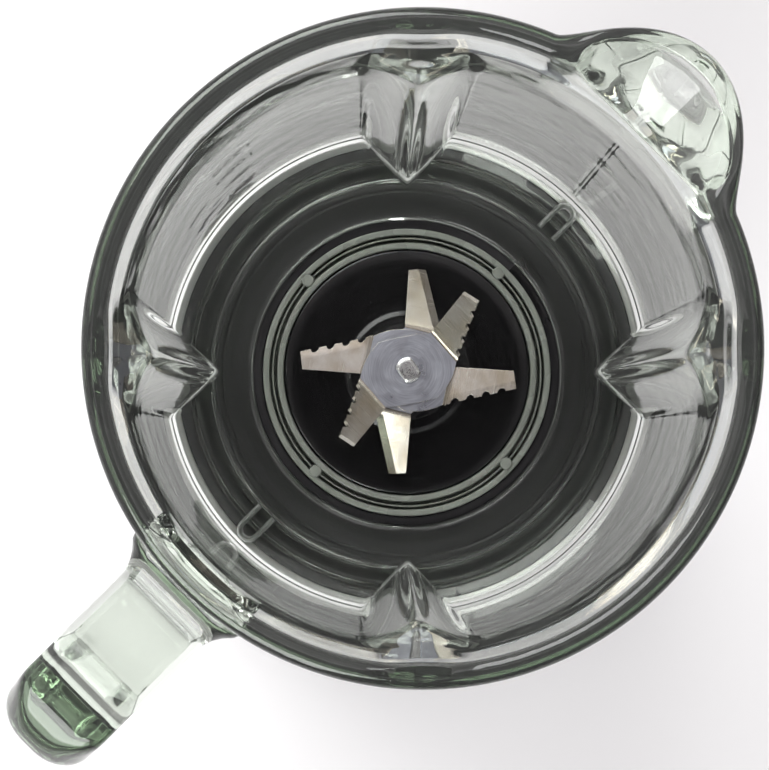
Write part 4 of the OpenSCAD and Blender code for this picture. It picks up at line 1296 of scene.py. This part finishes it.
def inner_finishes():
    """Looks for the CAD nodes that are shown as they are, mostly inside the base."""
    board = new_material("solder_mask", (0.02, 0.16, 0.06), roughness=0.3)
    tracks = ((0.01, 0.11, 0.04), (0.03, 0.22, 0.09))
    grain(board, 400, 1, bump=(0.00003, 1.0), colours=tracks)
    looks = {
        "clear_gasket": GASKET,
        "black_plastic": BLACK_GLOSS,
        "base_plastic": BASE_MATTE,
        "housing_steel": HOUSING_STEEL,
        "trim_chrome": CHROME,
        "knob_black": KNOB_BLACK,
        "black_rubber": RUBBER,
        "board_green": board
    }
    matte = {
        "coupling_rubber": ("coupling_rubber", 0.03, 0.6, 1800),
        "brush_carbon": ("carbon", 0.03, 0.6, 2500),
        "fan_plastic": ("nylon_fan", 0.6, 0.45, 900),
        "switch_plastic": ("switch_body", 0.06, 0.45, 1500)
    }
    spun = {
        "shaft_steel": ("machined_steel", (0.66, 0.65, 0.63), (3000, 1, 1500), 0.3),
        "bearing_steel": ("bearing_steel", (0.75, 0.76, 0.78), (2000, 1, 900), 0.15)
    }
    brushed = {
        "screw_steel": ("zinc_steel", (0.70, 0.70, 0.72), (700, 700, 700), 0.3),
        "bush_bronze": ("sintered_bronze", (0.60, 0.40, 0.20), (1500, 1500, 1500), 0.45, 0.00003),
        "lamination_steel": ("laminations", (0.42, 0.43, 0.45), (30, 30, 2500), 0.4, 0.00005),
        "copper_winding": ("enamelled_wire", (0.62, 0.24, 0.10), (40, 40, 1800), 0.3, 0.0001),
        "bracket_alloy": ("die_cast", (0.60, 0.61, 0.62), (420, 420, 420), 0.5, 0.00008),
        "commutator_copper": ("commutator", (0.72, 0.42, 0.24), (900, 900, 60), 0.3)
    }
    for make, table in ((black_matte_material, matte), (spun_material, spun),
                        (brushed_material, brushed)):
        for slot, settings in table.items():
            looks[slot] = make(*settings)
    return looks


def finish_inner_nodes():
    """Gives each CAD node that is still shown its look, with its edges a little rounded."""
    looks = inner_finishes()
    slots = {part["node"]: part["material_slot"] for part in frame["record"]["subparts"]}
    for name, piece in frame["nodes"].items():
        if piece.hide_render or slots[name] not in looks:
            continue
        piece.data.materials.clear()
        piece.data.materials.append(looks[slots[name]])
        smooth(piece.data, 30)
        bevel = piece.modifiers.new("soft_edges", "BEVEL")
        bevel.width = 0.15 * MM
        bevel.segments = 2
        bevel.limit_method = "ANGLE"
        bevel.angle_limit = math.radians(35)


# --------------------------------------------------------------- floor, light and camera

def floor_plane():
    """A plain pale floor."""
    material = new_material("stage_floor", (0.92, 0.915, 0.915), roughness=0.9)
    mesh = bpy.data.meshes.new("stage_floor")
    side = 4.0
    mesh.from_pydata([(-side, -side, 0), (side, -side, 0), (side, side, 0), (-side, side, 0)],
                     [], [(0, 1, 2, 3)])
    mesh.materials.append(material)
    add_object("stage_floor", mesh)


def area_light(name, place_at, aim, side, power):
    """A square lamp at a place, turned to a point."""
    lamp = bpy.data.lights.new(name, "AREA")
    lamp.shape = "RECTANGLE"
    lamp.size = side
    lamp.size_y = side
    lamp.energy = power
    holder = add_object(name, lamp)
    holder.location = place_at
    direction = Vector(aim) - Vector(place_at)
    holder.rotation_euler = direction.to_track_quat("-Z", "Y").to_euler()


def surroundings():
    """Soft studio: a dark patch straight overhead, brighter towards the controls' side."""
    world = bpy.data.worlds.new("studio")
    bpy.context.scene.world = world
    world.use_nodes = True
    where = node(world, "ShaderNodeTexCoord").outputs["Generated"]
    height = feed(world, "ShaderNodeSeparateXYZ", where, output="Z")
    bright_side = (0.5, 0.87, 0)
    along = feed(world, "ShaderNodeVectorMath", where, bright_side, output="Value",
                 operation="DOT_PRODUCT")
    share = feed(world, "ShaderNodeMath", along, 0.5, 0.5, operation="MULTIPLY_ADD")
    sides = colour_ramp(world, share, ((0, 1.0, 0.95, 0.965), (1, 0.13, 0.12, 0.14)))
    levels = ((0.0, 1.0), (0.935, 1.0), (0.965, 3.0), (0.982, 3.0), (0.990, 0.02))
    heights = colour_ramp(world, height, [(z, level, level, level) for z, level in levels])
    product = node(world, "ShaderNodeMix", data_type="RGBA", blend_type="MULTIPLY")
    product.inputs["Factor"].default_value = 1
    join = world.node_tree.links.new
    join(sides, product.inputs[6])
    join(heights, product.inputs[7])
    flags = feed(world, "ShaderNodeTexNoise", where, Scale=1.7, Detail=1.0)
    patches = feed(world, "ShaderNodeMapRange", flags, 0.40, 0.56, 0.35, 1.1)
    flagged = node(world, "ShaderNodeVectorMath", operation="SCALE")
    join(product.outputs[2], flagged.inputs[0])
    join(patches, flagged.inputs["Scale"])
    background = world.node_tree.nodes["Background"]
    join(flagged.outputs["Vector"], background.inputs["Color"])
    background.inputs["Strength"].default_value = 0.85


def camera():
    """Looks down into the jar from a little to the handle's side."""
    eye = Vector((0.0296, 0.0061, 0.9415))
    aim = Vector((0.01207, -0.00013, 0.358))
    up_hint = Vector((-1, -1, 0))
    forward = (aim - eye).normalized()
    right = forward.cross(up_hint).normalized()
    up = right.cross(forward)
    data = bpy.data.cameras.new("camera")
    data.sensor_width = 36
    data.lens = 123.86805
    data.clip_start = 0.01
    holder = add_object("camera", data)
    turn = Matrix((right, up, -forward)).transposed().to_4x4()
    holder.matrix_world = Matrix.Translation(eye) @ turn
    bpy.context.scene.camera = holder


# --------------------------------------------------------------- the whole scene

glass_jar()
jar_gasket()
blade_carrier()
locking_collar()
blades()
blade_shaft()
housing()
top_deck()
skirt()
cord_gland()
control_panel()
speed_knob()
push_buttons()
front_marks()
graduations()
finish_inner_nodes()
floor_plane()
surroundings()
area_light("key_light", (-0.3, -0.8, 1.0), (0, 0, 0.1), 0.8, 12)
area_light("floor_light", (0.9, 0.15, 1.15), (0, 0, 0.0), 0.8, 14)
camera()
bpy.context.scene.view_settings.view_transform = "Standard"
